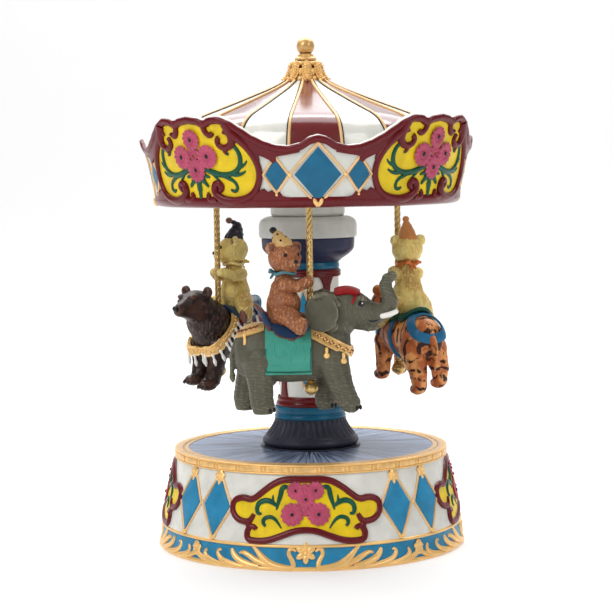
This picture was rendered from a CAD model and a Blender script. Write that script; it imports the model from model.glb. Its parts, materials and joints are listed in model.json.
import json
from math import atan2, ceil, copysign, cos, hypot, pi, radians, sin
import bpy
import bmesh
from mathutils import Matrix, Vector, noise
from mathutils.bvhtree import BVHTree

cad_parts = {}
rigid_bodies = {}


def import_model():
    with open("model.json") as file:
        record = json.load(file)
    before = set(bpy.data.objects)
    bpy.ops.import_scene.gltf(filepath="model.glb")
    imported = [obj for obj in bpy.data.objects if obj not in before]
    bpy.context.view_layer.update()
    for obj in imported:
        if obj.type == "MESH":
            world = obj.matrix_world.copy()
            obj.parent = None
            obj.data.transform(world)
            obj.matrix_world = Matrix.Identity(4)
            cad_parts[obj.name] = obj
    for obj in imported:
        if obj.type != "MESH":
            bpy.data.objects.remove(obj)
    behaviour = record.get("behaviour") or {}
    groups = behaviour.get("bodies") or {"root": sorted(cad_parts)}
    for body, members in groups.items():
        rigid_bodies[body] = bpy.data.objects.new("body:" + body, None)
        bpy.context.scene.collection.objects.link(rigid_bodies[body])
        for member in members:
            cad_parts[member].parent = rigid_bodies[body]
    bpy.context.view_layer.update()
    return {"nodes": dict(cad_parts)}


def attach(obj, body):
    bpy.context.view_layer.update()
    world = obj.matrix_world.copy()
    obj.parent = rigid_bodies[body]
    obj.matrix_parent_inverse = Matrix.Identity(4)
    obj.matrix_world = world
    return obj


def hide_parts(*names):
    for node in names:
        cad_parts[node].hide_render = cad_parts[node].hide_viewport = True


for stray in list(bpy.data.objects):
    bpy.data.objects.remove(stray)
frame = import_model()
print("frame loaded:", len(frame["nodes"]), "nodes")

mm = 0.001    # pieces are drawn in millimetres and scaled when they are finished


class Wire:
    # a socket in a material; arithmetic on it adds Math nodes
    def __init__(self, tree, socket=None):
        self.tree = tree
        self.socket = socket

    def make(self, kind, settings=None, sockets=None, out=0):
        node = self.tree.nodes.new(kind)
        for name, value in (settings or {}).items():
            setattr(node, name, value)
        for name, value in (sockets or {}).items():
            feed(node, name, value)
        return Wire(self.tree, node.outputs[out])

    def op(self, operation, *values):
        # a Math node on the values given, or on this socket alone
        return self.make("ShaderNodeMath", {"operation": operation}, dict(enumerate(values or [self])))

    def __add__(self, other):
        return self.op("ADD", self, other)

    def __radd__(self, other):
        return self.op("ADD", other, self)

    def __sub__(self, other):
        return self.op("SUBTRACT", self, other)

    def __rsub__(self, other):
        return self.op("SUBTRACT", other, self)

    def __mul__(self, other):
        return self.op("MULTIPLY", self, other)

    def __rmul__(self, other):
        return self.op("MULTIPLY", other, self)

    def step(self, low, high):
        # 0 below low, 1 above high, smooth between
        settings = {"interpolation_type": "SMOOTHSTEP"}
        return self.make("ShaderNodeMapRange", settings, {"Value": self, "From Min": low, "From Max": high})

    def between(self, low, high):
        # noise, most of it from 0.3 to 0.7, spread evenly from low to high
        return self.make("ShaderNodeMapRange", None, {"Value": self, "From Min": 0.3, "From Max": 0.7,
                                                      "To Min": low, "To Max": high})

    def blend(self, first, second):
        # colours mixed by this mask
        sockets = {0: self, 6: colour4(first), 7: colour4(second)}
        return self.make("ShaderNodeMix", {"data_type": "RGBA"}, sockets, 2)

    def parts(self):
        node = self.make("ShaderNodeSeparateXYZ", None, {0: self}).socket.node
        return [Wire(self.tree, node.outputs[i]) for i in range(3)]

    def grain(self, scale, detail=3.0, rough=0.5):
        sockets = {"Vector": self, "Scale": scale, "Detail": detail, "Roughness": rough}
        return self.make("ShaderNodeTexNoise", None, sockets)

    def stretched(self, x, y, z):
        return self.make("ShaderNodeMapping", None, {"Vector": self, "Scale": (x, y, z)})


def feed(node, name, value):
    if isinstance(value, Wire):
        value.tree.links.new(value.socket, node.inputs[name])
    else:
        node.inputs[name].default_value = value


def colour4(value):
    return value if isinstance(value, Wire) else (*value, 1.0)


def srgb(r, g, b):
    return tuple((c / 255 / 12.92) if c <= 10 else ((c / 255 + 0.055) / 1.055) ** 2.4 for c in (r, g, b))


def shade(colour, factor):
    return tuple(min(1.0, c * factor) for c in colour)


paints = {}    # every finish by its name


def startMaterial(name):
    paints[name] = bpy.data.materials.new(name)
    paints[name].use_nodes = True
    tree = paints[name].node_tree
    return tree.nodes["Principled BSDF"], Wire(tree).make("ShaderNodeTexCoord", out=3)


def finishPaint(shader, coords, colour, rough, coat=0.0, metal=0.0, bump=None, depth=0.0002, strength=0.3,
                spread=0.12):
    # hand-brushed paint: faint clouds in the colour, uneven gloss, a little grain
    clouds = coords.grain(140.0, 3.0)
    fine = coords.grain(900.0, 2.0)
    height = fine if bump is None else bump + 0.15 * fine
    shades = {0: 1.0, 6: colour4(colour), 7: clouds.between(1.0 - spread, 1.0 + 0.25 * spread)}
    for name, value in (
        ("Base Color", clouds.make("ShaderNodeMix", {"data_type": "RGBA", "blend_type": "MULTIPLY"}, shades, 2)),
        ("Roughness", rough + 0.12 * (fine - 0.5) + 0.1 * (clouds - 0.5)),
        ("Coat Weight", coat),
        ("Coat Roughness", 0.06),
        ("Specular IOR Level", 0.5 if metal > 0.0 or coat > 0.5 else 0.26),
        ("Metallic", metal),
        ("Normal", height.make("ShaderNodeBump", None, {"Strength": strength, "Distance": depth, "Height": height})),
    ):
        feed(shader, name, value)


def cavity(coords):
    # how deep in a hollow a point lies, kept on the mesh when the piece was made
    return coords.make("ShaderNodeAttribute", {"attribute_name": "cavity"}, out=2)


def resinPaint(name, colour, rough, coat, wash=None, spread=0.12):
    # the wash in the hollows is a colour, or a share of the paint's own colour
    shader, coords = startMaterial(name)
    colour = srgb(*colour)
    if wash:
        dark = srgb(*wash) if isinstance(wash, tuple) else shade(colour, wash)
        colour = cavity(coords).step(0.5, 0.86).blend(colour, dark)
    finishPaint(shader, coords, colour, rough, coat, strength=0.25, spread=spread)


def goldPaint(name, colour, metal, rough):
    # gold over a brown ground that shows in the hollows
    shader, coords = startMaterial(name)
    deep = cavity(coords)
    rubbed = coords.grain(420.0, 4.0)
    ground = (deep + 0.35 * (rubbed - 0.5)).step(0.47, 0.64)
    bright = (deep - 0.3 * (rubbed - 0.5)).step(0.46, 0.3)
    gold = bright.blend(colour, shade(colour, 1.4))
    finishPaint(shader, coords, ground.blend(gold, srgb(96, 52, 18)), rough, 0.15, metal, rubbed, 0.0003, 0.25)


# colour, roughness, coat, wash in the hollows and cloudiness
resinSettings = {
    "creamWhitePaint": ((230, 229, 221), 0.3, 0.12),
    "burgundyPaint": ((104, 20, 27), 0.3, 0.05, 0.35),
    "yellowFieldPaint": ((240, 206, 28), 0.42, 0.03, None, 0.2),
    "canopyWhitePaint": ((216, 217, 209), 0.3, 0.12),
    "shadedWhitePaint": ((204, 204, 198), 0.3, 0.12),
    "diamondBluePaint": ((44, 138, 182), 0.4, 0.03, None, 0.22),
    "canopyBluePaint": ((26, 105, 142), 0.4, 0.03, None, 0.22),
    "daisyPinkPaint": ((190, 78, 108), 0.45, 0.02, (110, 28, 52), 0.25),
    "leafGreenPaint": ((14, 84, 62), 0.34, 0.06, (5, 34, 26), 0.25),
    "slatePaint": ((58, 60, 74), 0.42, 0.04, 0.45),
    "tealPaint": ((26, 104, 136), 0.32, 0.08, None, 0.3),
    "columnRedPaint": ((104, 20, 22), 0.3, 0.05, 0.4),
    "navyPaint": ((44, 48, 78), 0.4, 0.05),
    "darkDotPaint": ((24, 18, 20), 0.3, 0.2),
    "saddleClothTeal": ((66, 152, 134), 0.42, 0.04, (18, 84, 72)),
    "hemGreen": ((18, 92, 74), 0.4, 0.04),
    "seatNavy": ((34, 62, 98), 0.35, 0.08, (14, 24, 44)),
    "strapBlue": ((38, 108, 150), 0.35, 0.08, None, 0.2),
    "seatGreen": ((22, 74, 56), 0.35, 0.08),
    "saddleLeather": ((112, 62, 50), 0.42, 0.15),
    "headbandRed": ((156, 16, 24), 0.3, 0.12),
    "ivoryWhite": ((244, 242, 234), 0.28, 0.4),
    "harnessInlay": ((122, 70, 28), 0.42, 0.04),
    "solePaint": ((120, 78, 66), 0.4, 0.2),
    "hatTan": ((206, 168, 104), 0.42, 0.15, (130, 84, 36)),
    "hatNavy": ((24, 26, 44), 0.4, 0.2, None, 0.2),
    "hatOrange": ((200, 130, 72), 0.42, 0.15, (158, 72, 34)),
    "ribbonOrange": ((206, 110, 44), 0.4, 0.2),
    "ribbonTeal": ((84, 130, 140), 0.4, 0.2, (40, 74, 86)),
}
for finish, values in resinSettings.items():
    resinPaint(finish, *values)
goldPaint("antiqueGoldPaint", srgb(222, 177, 110), 0.4, 0.36)
goldPaint("tanGoldLine", srgb(206, 168, 118), 0.25, 0.42)
print("paints ready")


def markHollows(mesh, gain=1.6, rounds=2):
    # attribute for the wash: 0.5 on flats, more in hollows, less on edges
    bm = bmesh.new()
    bm.from_mesh(mesh)
    bm.verts.ensure_lookup_table()
    values = []
    for vert in bm.verts:
        slopes = []
        for edge in vert.link_edges:
            way = edge.other_vert(vert).co - vert.co
            if way.length > 1e-9:
                slopes.append(vert.normal.dot(way) / way.length)
        values.append(0.5 + gain * sum(slopes) / max(len(slopes), 1))
    for _ in range(rounds):
        values = [0.5 * values[v.index] + 0.5 * sum(values[e.other_vert(v).index] for e in v.link_edges)
                  / max(len(v.link_edges), 1) for v in bm.verts]
    bm.free()
    hollows = mesh.attributes.new("cavity", "FLOAT", "POINT")
    hollows.data.foreach_set("value", [min(1.0, max(0.0, value)) for value in values])


fineMerge = 0.0001    # for a piece of small shapes that overlap


def finishPiece(name, bm, body, finishes, nodes=(), sharp=50.0, merge=0.004):
    bmesh.ops.remove_doubles(bm, verts=bm.verts, dist=merge)
    bmesh.ops.recalc_face_normals(bm, faces=bm.faces)
    bmesh.ops.scale(bm, vec=(mm, mm, mm), verts=bm.verts)
    mesh = bpy.data.meshes.new(name)
    bm.to_mesh(mesh)
    bm.free()
    mesh.polygons.foreach_set("use_smooth", [True] * len(mesh.polygons))
    mesh.set_sharp_from_angle(angle=radians(sharp))
    piece = bpy.data.objects.new(name, mesh)
    bpy.context.collection.objects.link(piece)
    for finish in finishes.split():
        mesh.materials.append(paints[finish])
    markHollows(mesh)
    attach(piece, body)
    if nodes:
        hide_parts(*nodes)


def blanks(count):
    return [bmesh.new() for _ in range(count)]


def about(axis, angle):
    return Matrix.Rotation(angle, 4, axis)


def swung(bm, degrees, verts):
    # turn about the carousel's axis
    bmesh.ops.rotate(bm, cent=(0, 0, 0), matrix=Matrix.Rotation(radians(degrees), 3, "Z"), verts=verts)


def cutAway(bm, point, way):
    # drop what lies beyond a plane
    geom = bm.verts[:] + bm.edges[:] + bm.faces[:]
    bmesh.ops.bisect_plane(bm, geom=geom, dist=1e-4, plane_co=point, plane_no=way, clear_outer=True)


def cutLevel(bm, z):
    # flat underside at a height
    cutAway(bm, (0, 0, z), (0, 0, -1))
    bmesh.ops.holes_fill(bm, edges=[e for e in bm.edges if e.is_boundary], sides=0)


def shelled(bm, thick):
    # make an open skin a wall, thickened inwards
    bmesh.ops.recalc_face_normals(bm, faces=bm.faces)
    if sum(f.normal.dot(f.calc_center_median()) for f in bm.faces) < 0:
        bmesh.ops.reverse_faces(bm, faces=bm.faces)
    bmesh.ops.solidify(bm, geom=bm.faces[:], thickness=thick)


def lathe(bm, points, steps=192, closed=True, start=0.0, degrees=360.0):
    # turn a profile of (radius, height) about the axis
    verts = [bm.verts.new((r, 0.0, z)) for r, z in points]
    edges = [bm.edges.new(pair) for pair in zip(verts, verts[1:])]
    if closed:
        edges.append(bm.edges.new((verts[-1], verts[0])))
    swung(bm, start, verts)
    bmesh.ops.spin(bm, geom=verts + edges, cent=(0, 0, 0), axis=(0, 0, 1), angle=radians(degrees),
                   steps=steps, use_merge=degrees >= 360.0)


def rounded(points, count=5):
    # soften the corners of a profile that have a third value, their reach, with short arcs
    out = []
    for i, spot in enumerate(points):
        if len(spot) == 2:
            out.append(spot)
            continue
        here = Vector(spot[:2])
        reach = spot[2]
        before = Vector(points[i - 1][:2]) - here
        after = Vector(points[(i + 1) % len(points)][:2]) - here
        near = here + before.normalized() * min(reach, 0.45 * before.length)
        far = here + after.normalized() * min(reach, 0.45 * after.length)
        for k in range(count + 1):
            t = k / count
            out.append(tuple(near * (1 - t) ** 2 + here * 2 * t * (1 - t) + far * t ** 2))
    return out


def turned(name, body, finish, nodes, profile, count=5, steps=128, sharp=50.0):
    # a whole piece from one profile
    bm = bmesh.new()
    lathe(bm, rounded(profile, count), steps)
    finishPiece(name, bm, body, finish, nodes, sharp)


def moulding(target, radius, z, wide, high, sides):
    # round bead all the way round a piece
    bead = bmesh.new()
    turns = [2 * pi * k / sides for k in range(sides)]
    lathe(bead, [(radius + wide * cos(a), z + high * sin(a)) for a in turns], 256)
    gathered(target, bead)


def evaluated(data, store, modifiers=()):
    # the shape of a curve or mesh after its modifiers, taken into a new bmesh
    holder = bpy.data.objects.new("holder", data)
    bpy.context.collection.objects.link(holder)
    for kind, settings in modifiers:
        modifier = holder.modifiers.new(kind, kind)
        for name, value in settings.items():
            setattr(modifier, name, value)
    bpy.context.view_layer.update()
    mesh = bpy.data.meshes.new_from_object(holder.evaluated_get(bpy.context.evaluated_depsgraph_get()))
    bm = bmesh.new()
    bm.from_mesh(mesh)
    bpy.data.objects.remove(holder)
    store.remove(data)
    bpy.data.meshes.remove(mesh)
    return bm


def addSpline(curve, points, smooth=False, cyclic=False, resolution=5):
    # points are (x, y, z, radius)
    spline = curve.splines.new("NURBS" if smooth else "POLY")
    spline.points.add(len(points) - 1)
    for point, (x, y, z, radius) in zip(spline.points, points):
        point.co = (x, y, z, 1.0)
        point.radius = radius
    spline.use_cyclic_u = cyclic
    if smooth:
        spline.order_u = 3
        spline.use_endpoint_u = not cyclic
        spline.resolution_u = resolution


def roundCurve(depth, rings):
    curve = bpy.data.curves.new("rod", "CURVE")
    curve.dimensions = "3D"
    curve.bevel_depth = depth
    curve.bevel_resolution = rings
    curve.use_fill_caps = True
    return curve


def stroke(paths, depth, smooth=True, rings=2, resolution=5):
    # tapering strokes on a flat sheet: each path is a list of (x, z) or (x, z, weight)
    curve = roundCurve(depth, rings)
    for path in paths:
        points = [(spot[0], 0.0, spot[1], spot[2] if len(spot) > 2 else 1.0) for spot in path]
        addSpline(curve, points, smooth, resolution=resolution)
    return evaluated(curve, bpy.data.curves)


def cutOut(outline, height, bevel, smooth=False):
    # raised plate from an outline on a flat sheet, with rounded edges
    curve = bpy.data.curves.new("plate", "CURVE")
    curve.dimensions = "2D"
    curve.fill_mode = "BOTH"
    curve.extrude = max(height - bevel, 0.01)
    curve.bevel_depth = bevel
    curve.bevel_resolution = 2
    curve.offset = -bevel
    addSpline(curve, [(x, z, 0.0, 1.0) for x, z in outline], smooth, True, 4)
    bm = evaluated(curve, bpy.data.curves)
    upright = Matrix(((1, 0, 0), (0, 0, -1), (0, 1, 0)))
    bmesh.ops.transform(bm, matrix=upright.to_4x4(), verts=bm.verts)
    return bm


def sliced(bm, step):
    # cut a flat sheet into upright strips, so that it can follow a round wall
    low = min(v.co.x for v in bm.verts)
    high = max(v.co.x for v in bm.verts)
    x = ceil(low / step) * step
    while x < high:
        geom = bm.verts[:] + bm.edges[:] + bm.faces[:]
        bmesh.ops.bisect_plane(bm, geom=geom, dist=1e-5, plane_co=(x, 0, 0), plane_no=(1, 0, 0))
        x += step
    return bm


def laid(target, sheet, wall, turn, lift=0.0, flat=1.0, strip=None):
    # add a flat sheet to a piece, laid on a round wall; turn is in degrees from the front towards +X
    if strip:
        sliced(sheet, strip)
    for vert in sheet.verts:
        x, y, z = vert.co
        angle = radians(turn) + x / wall["around"]
        radius = wall["radius"](z) + lift - flat * y
        vert.co = (radius * sin(angle), -radius * cos(angle), z)
    gathered(target, sheet)


def gathered(target, bm):
    # add one bmesh to another
    mesh = bpy.data.meshes.new("part")
    bm.to_mesh(mesh)
    bm.free()
    target.from_mesh(mesh)
    bpy.data.meshes.remove(mesh)


def mirroredPaths(paths):
    return paths + [[(-spot[0], *spot[1:]) for spot in path] for path in paths]


def bothHalves(half):
    # closed outline from its right half, which runs from the top middle to the lower middle
    return half + [(-x, z) for x, z in half[-2:0:-1]]


def ball(bm, centre, sizes, turn=None, segments=8, rings=6):
    matrix = Matrix.Translation(centre) @ (turn or Matrix()) @ Matrix.Diagonal((*sizes, 1.0))
    return bmesh.ops.create_uvsphere(bm, u_segments=segments, v_segments=rings, radius=1.0, matrix=matrix)["verts"]


def daisy(bm, x, z, radius, petals, turn=0.0):
    # domed petals round a raised middle, on a flat sheet that faces -Y
    for i in range(petals):
        angle = 2 * pi * (i + turn) / petals
        way = about("Y", -angle) @ about("Z", radians(-9))
        spot = Vector((x + 0.62 * radius * cos(angle), -0.5, z + 0.62 * radius * sin(angle)))
        ball(bm, spot, (0.46 * radius, 0.62, 0.3 * radius), way)
    ball(bm, (x, -0.5, z), (0.36 * radius, 0.75, 0.36 * radius), None, 10, 6)


# base

baseSettings = {
    "low": 12.2, "rim": 43.3, "lowRadius": 73.2, "topRadius": 66.0, "edgeRadius": 66.6, "beads": 32,
    "frameWeight": 1.55, "diamond": (7.8, 13.6),
    "lozenge": {"height": 0.7, "sit": -0.1, "line": 0.62, "rise": 0.25, "flat": 0.8, "reach": 1.16, "strip": 2.0},
}


def drumRadius(z):
    s = baseSettings
    return s["lowRadius"] + (s["topRadius"] - s["lowRadius"]) * (z - s["low"]) / (s["rim"] - s["low"])


drumWall = {"around": 70.0, "radius": drumRadius}
quarters = [0.0, 90.0, 180.0, 270.0]

# right half of the flower panel's frame, from the top centre round the ear and the foot to the arch
panelHalf = [(0, 41.2), (11, 41.3), (17, 38.2), (21.5, 34.6), (25.6, 31.4), (30.5, 32.6), (35.3, 31.0), (35.6, 26.4),
             (32.6, 22.6), (28.2, 21.6), (25.4, 22.2), (24.2, 25.4)]
panelFoot = [(27.6, 22.2), (25.6, 19.6), (27.0, 17.2), (26.4, 13.9), (22.6, 13.4), (17, 13.8), (11, 16.0), (5, 18.4),
             (0, 18.9)]
panelCurl = [(26.2, 19.8, 0.9), (23.6, 20.2, 0.9), (22.6, 18.6, 0.8)]
panelField = [(0, 41), (11, 41), (17, 38), (21.5, 34.4), (25.6, 31.2), (30.5, 32.2), (35, 30.6), (35.2, 26.6),
              (32.4, 23), (28, 22), (25.8, 19.6), (27, 17), (26, 14.2), (22, 13.8), (17, 14.2), (11, 16.3), (5, 18.6),
              (0, 19)]
panelDaisies = [(-4.6, 36.4, 3.9, 0.2), (4.8, 36.5, 3.9, 0.5), (0.2, 32.6, 4.1, 0.1), (-6.0, 25.8, 5.0, 0.3),
                (6.0, 25.9, 5.0, 0.7)]


def buildDrum():
    s = baseSettings
    low, rim, edge = s["low"], s["rim"], s["edgeRadius"]
    bm = bmesh.new()
    lathe(bm, rounded([(66.7, low), (s["lowRadius"], low), (s["topRadius"], rim), (edge, rim, 0.2), (edge, 47.9, 0.9),
                       (63.4, 48.0, 0.5), (62.6, 47.3, 0.3), (61.4, 47.9, 0.6), (60.0, 47.9, 0.4), (60.0, 44.5),
                       (56.0, 44.5), (56.0, 42.5), (61.8, 38.5), (69.0, 23.7), (60.7, 21.7), (60.7, 15.2),
                       (66.7, 15.2)]), 256)
    for face in bm.faces:
        centre = face.calc_center_median()
        if centre.z > rim - 0.1 and centre.xy.length > 59.9:
            face.material_index = 1
    finishPiece("baseDrum", bm, "base", "creamWhitePaint antiqueGoldPaint", ["base_drum"], 35.0)

    beads = bmesh.new()
    pitch = 2 * pi * edge / s["beads"]
    half = 0.39 * pitch
    wall = {"around": edge, "radius": lambda z: edge}
    for i in range(s["beads"]):
        turn = 360.0 * i / s["beads"]
        bar = cutOut([(-half, 44.3), (half, 44.3), (half, 46.9), (-half, 46.9)], 0.45, 0.25)
        laid(beads, bar, wall, turn, -0.05, strip=2.0)
        knob = bmesh.new()
        ball(knob, (0.5 * pitch, 0, 45.6), (0.62, 0.6, 1.25), None, 10, 8)
        laid(beads, knob, wall, turn, -0.1)
    for z in (43.75, 47.4):
        moulding(beads, edge, z, 0.42, 0.42, 8)
    finishPiece("rimBeads", beads, "base", "antiqueGoldPaint")


def panelSheets():
    # field, frame, flowers, their eyes and the leaves of one base panel, each as a flat sheet
    field = cutOut(bothHalves(panelField), 0.8, 0.1, True)
    top = [(-x, z) for x, z in panelHalf[:0:-1]] + panelHalf
    top[0], top[-1] = (*top[0], 0.75), (*top[-1], 0.75)
    lower = [(-x, z) for x, z in panelFoot[:-1]] + panelFoot[::-1]
    frameStrokes = stroke([top, lower] + mirroredPaths([panelCurl]), baseSettings["frameWeight"], resolution=8)
    flowers, eyes = blanks(2)
    for x, z, r, turn in panelDaisies:
        daisy(flowers, x, z, r, 12, turn)
        ball(eyes, (x, -1.0, z), (0.17 * r, 0.5, 0.17 * r))
    for z in (27.2, 37.2):
        ball(flowers, (0, -0.3, z), (2.4, 0.6, 2.4))
    leaves = stroke(mirroredPaths([
        [(7.4, 36.6, 0.5), (8.6, 38.2, 1.0), (11.2, 37.6, 1.25), (11.6, 34.4, 1.2), (12.6, 31.2, 1.0),
         (13.4, 27.6, 0.4)],
        [(12.6, 28.6, 0.5), (14.6, 30.6, 1.1), (18.4, 32.0, 1.3), (22.2, 30.6, 1.25), (23.0, 27.4, 1.1),
         (21.8, 25.2, 0.9), (20.4, 25.9, 0.6)],
        [(15.2, 30.2, 0.9), (15.4, 32.6, 0.7), (15.2, 34.4, 0.25)],
        [(10.8, 19.4, 0.35), (12.6, 22.4, 0.7), (15.4, 24.6, 0.95), (18.8, 24.0, 1.0), (19.8, 21.6, 0.95),
         (18.2, 20.2, 0.7)],
    ]), 1.0, resolution=6)
    return field, frameStrokes, flowers, eyes, leaves


def diamond(plates, lines, wall, turn, x, z, half, tall, s):
    # raised lozenge with a thin frame round it
    plate = cutOut([(x, z - tall), (x + half, z), (x, z + tall), (x - half, z)], s["height"], 0.15)
    laid(plates, plate, wall, turn, s["sit"], strip=s["strip"])
    a, b = half * s["reach"] + 0.3, tall * s["reach"] - 0.4
    sides = [[(x, z + b), (x + side * a, z), (x, z - b)] for side in (1, -1)]
    laid(lines, stroke(sides, s["line"], smooth=False), wall, turn, s["rise"], s["flat"], s["strip"])


def leafFan(bm, x, z, size, lift=-0.4):
    # small acanthus sprig: five drooping lobes
    for angle, length in ((-64, 0.75), (-32, 0.95), (0, 1.15), (32, 0.95), (64, 0.75)):
        a = radians(angle)
        way = about("Y", a)
        spot = Vector((x - 0.5 * size * length * sin(a), lift, z - 0.5 * size * length * cos(a)))
        ball(bm, spot, (0.24 * size, 0.5, 0.55 * size * length), way)
    ball(bm, (x, lift - 0.2, z), (0.42 * size, 0.55, 0.42 * size), None, 10, 6)


def buildBaseRelief():
    s = baseSettings
    fields, frames, flowers, eyes, leaves, lozenges, lines, knots = blanks(8)
    middle = 0.5 * (s["low"] + s["rim"])
    half, tall = s["diamond"]
    for turn in quarters:
        field, frameStrokes, blooms, hearts, foliage = panelSheets()
        laid(fields, field, drumWall, turn, -0.25, strip=2.5)
        laid(frames, frameStrokes, drumWall, turn, 0.35, 0.85)
        laid(flowers, blooms, drumWall, turn, 0.5)
        laid(eyes, hearts, drumWall, turn, 0.75)
        laid(leaves, foliage, drumWall, turn, 0.5, 0.75)
        for side in (37.0, 53.0):
            diamond(lozenges, lines, drumWall, turn + side, 0, middle, half, tall, s["lozenge"])
            sprig = bmesh.new()
            leafFan(sprig, 0, middle + tall + 1.0, 4.4)
            for x in (-0.9, 0.9):
                ball(sprig, (x, -0.3, middle - tall - 0.7), (0.8, 0.7, 1.2), about("Y", 0.35 * x))
            ball(sprig, (0, -0.4, middle - tall - 1.2), (0.75, 0.7, 0.8))
            laid(knots, sprig, drumWall, turn + side, 0.2)
        sprig = bmesh.new()
        ball(sprig, (0, -0.2, middle), (0.8, 0.6, 0.9))
        laid(knots, sprig, drumWall, turn + 45.0, 0.3)
    finishPiece("baseFields", fields, "base", "yellowFieldPaint", sharp=30.0)
    finishPiece("baseFrames", frames, "base", "burgundyPaint")
    finishPiece("baseDaisies", flowers, "base", "daisyPinkPaint", merge=fineMerge)
    finishPiece("baseDaisyEyes", eyes, "base", "darkDotPaint")
    finishPiece("baseLeaves", leaves, "base", "leafGreenPaint")
    finishPiece("baseDiamonds", lozenges, "base", "diamondBluePaint", sharp=30.0)
    finishPiece("baseDiamondLines", lines, "base", "tanGoldLine")
    finishPiece("baseSprigs", knots, "base", "antiqueGoldPaint", merge=fineMerge)


def footRadius(z):
    # hollow curve of the foot band
    t = min(max(z / 10.6, 0.0), 1.0)
    return 72.7 + 2.0 * (1 - t) ** 1.5


footWall = {"around": 73.5, "radius": footRadius}


def buildFoot():
    outer = [(footRadius(z), z) for z in (0.9, 2.2, 3.6, 5.0, 6.4, 7.8, 9.2, 10.6)]
    turned("footBand", "base", "diamondBluePaint", ["foot_ring"],
           [(66.7, 0.0), (73.2, 0.0), (74.2, 0.25), *outer, (72.6, 12.2), (66.7, 12.2)], steps=256, sharp=40.0)

    gold = bmesh.new()
    moulding(gold, 72.9, 11.4, 0.95, 0.8, 10)
    moulding(gold, 73.6, 1.1, 1.38, 1.08, 12)
    # one side of the border under a flower panel: scroll, long leaf, two sprays
    border = mirroredPaths([
        [(4.6, 9.0, 0.7), (5.6, 10.2, 1.0), (7.6, 10.0, 1.2), (8.0, 7.6, 1.3), (6.2, 5.0, 1.3), (5.4, 2.4, 1.5),
         (6.6, 1.2, 1.4)],
        [(6.6, 1.4, 1.6), (11, 1.6, 2.0), (16.5, 3.0, 2.2), (21.0, 6.4, 1.9), (23.6, 9.4, 1.2), (25.4, 11.0, 0.8)],
        [(17.0, 2.4, 1.4), (22.5, 3.8, 1.8), (27.5, 6.8, 1.6), (30.6, 8.0, 1.1), (32.0, 7.2, 0.6)],
        [(22.0, 1.8, 1.4), (28.0, 2.4, 2.0), (33.6, 4.8, 1.9), (36.0, 7.6, 1.6), (36.2, 9.0, 0.9)],
        [(30.0, 1.4, 1.2), (37.0, 2.0, 1.8), (42.0, 3.6, 1.6), (44.6, 6.4, 1.2), (43.4, 8.2, 0.9), (42.0, 7.6, 0.6)],
        [(40.0, 1.4, 1.0), (46.0, 1.8, 1.6), (51.0, 3.4, 1.7), (52.4, 6.0, 1.2), (51.0, 7.4, 0.8)],
        [(48.0, 1.6, 1.0), (54.0, 2.6, 1.6), (57.7, 5.4, 1.5)],
    ])
    for turn in quarters:
        laid(gold, stroke(border, 0.78, resolution=6), footWall, turn, 0.1, 0.75)
        rosette, sprig = blanks(2)
        for i in range(6):
            angle = pi * (i + 0.5) / 3
            spot = (2.7 * cos(angle), -0.3, 8.4 + 2.7 * sin(angle))
            ball(rosette, spot, (2.3, 0.8, 1.4), about("Y", -angle), 10)
        ball(rosette, (0, -0.7, 8.4), (1.2, 0.8, 1.2), None, 10)
        laid(gold, rosette, footWall, turn, 0.2)
        leafFan(sprig, 0, 8.6, 4.4, -0.3)
        laid(gold, sprig, footWall, turn + 45.0, 0.1)
    finishPiece("footGold", gold, "base", "antiqueGoldPaint", merge=fineMerge)


deckSettings = {"boards": 96, "top": 47.5, "groove": 47.2, "board": srgb(166, 184, 216), "line": srgb(44, 50, 78)}


def deckPaint():
    # lavender boards with dark brushed lines running out from the column
    s = deckSettings
    shader, coords = startMaterial("deckPaint")
    x, y, z = coords.parts()
    angle = x.op("ARCTAN2", y, x)
    reach = (x * x + y * y).op("SQRT")
    board = (angle * (s["boards"] / (2 * pi))).op("FRACT")
    line = (board - 0.5).op("ABSOLUTE").step(0.36, 0.5)
    streakSpace = coords.make("ShaderNodeCombineXYZ", None, {0: angle * 13.0, 1: reach * 10.0, 2: z})
    streak = streakSpace.grain(3.0, 2.0, 0.5).step(0.4, 0.62)
    inner = (1 - reach.step(0.022, 0.06)) * 0.75
    dark = line.op("MINIMUM", line * 0.7 + streak * (0.4 + inner), 1.0)
    finishPaint(shader, coords, dark.blend(s["board"], s["line"]), 0.36, 0.12, 0.0, 1 - line, 0.0003, 0.15, 0.03)


def buildDeck():
    # boards with a groove between neighbours
    s = deckSettings
    bm = bmesh.new()
    step = 360.0 / s["boards"]
    for i in range(s["boards"]):
        for start, wide, z in ((-0.44, 0.88, s["top"]), (0.44, 0.12, s["groove"])):
            lathe(bm, [(20.0, z), (59.95, z)], 1, False, (i + start) * step, wide * step)
    lathe(bm, [(5.05, 44.5), (59.95, 44.5), (59.95, 47.15), (5.05, 47.15)], 192)
    deckPaint()
    finishPiece("deckBoards", bm, "base", "deckPaint", ["stage_floor"], 20.0)
    turned("runningDisc", "base", "slatePaint", ["thrust_washer"],
           [(8.1, 47.5), (24.5, 47.5, 0.2), (24.5, 48.1, 0.2), (8.1, 48.1)])


buildDrum()
buildBaseRelief()
buildFoot()
buildDeck()
print("base done")


# turning column

columnSettings = {
    "low": 67.7, "top": 134.6, "bore": 2.6, "core": 14.9, "turn": -7.6, "panels": 4, "flutes": 36, "fluteDepth": 0.62,
    "middle": 101.1, "diamond": (7.2, 23.1),
    "lozenge": {"height": 0.6, "sit": 0.0, "line": 0.42, "rise": 0.15, "flat": 1.0, "reach": 1.06, "strip": 1.2},
}


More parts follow.
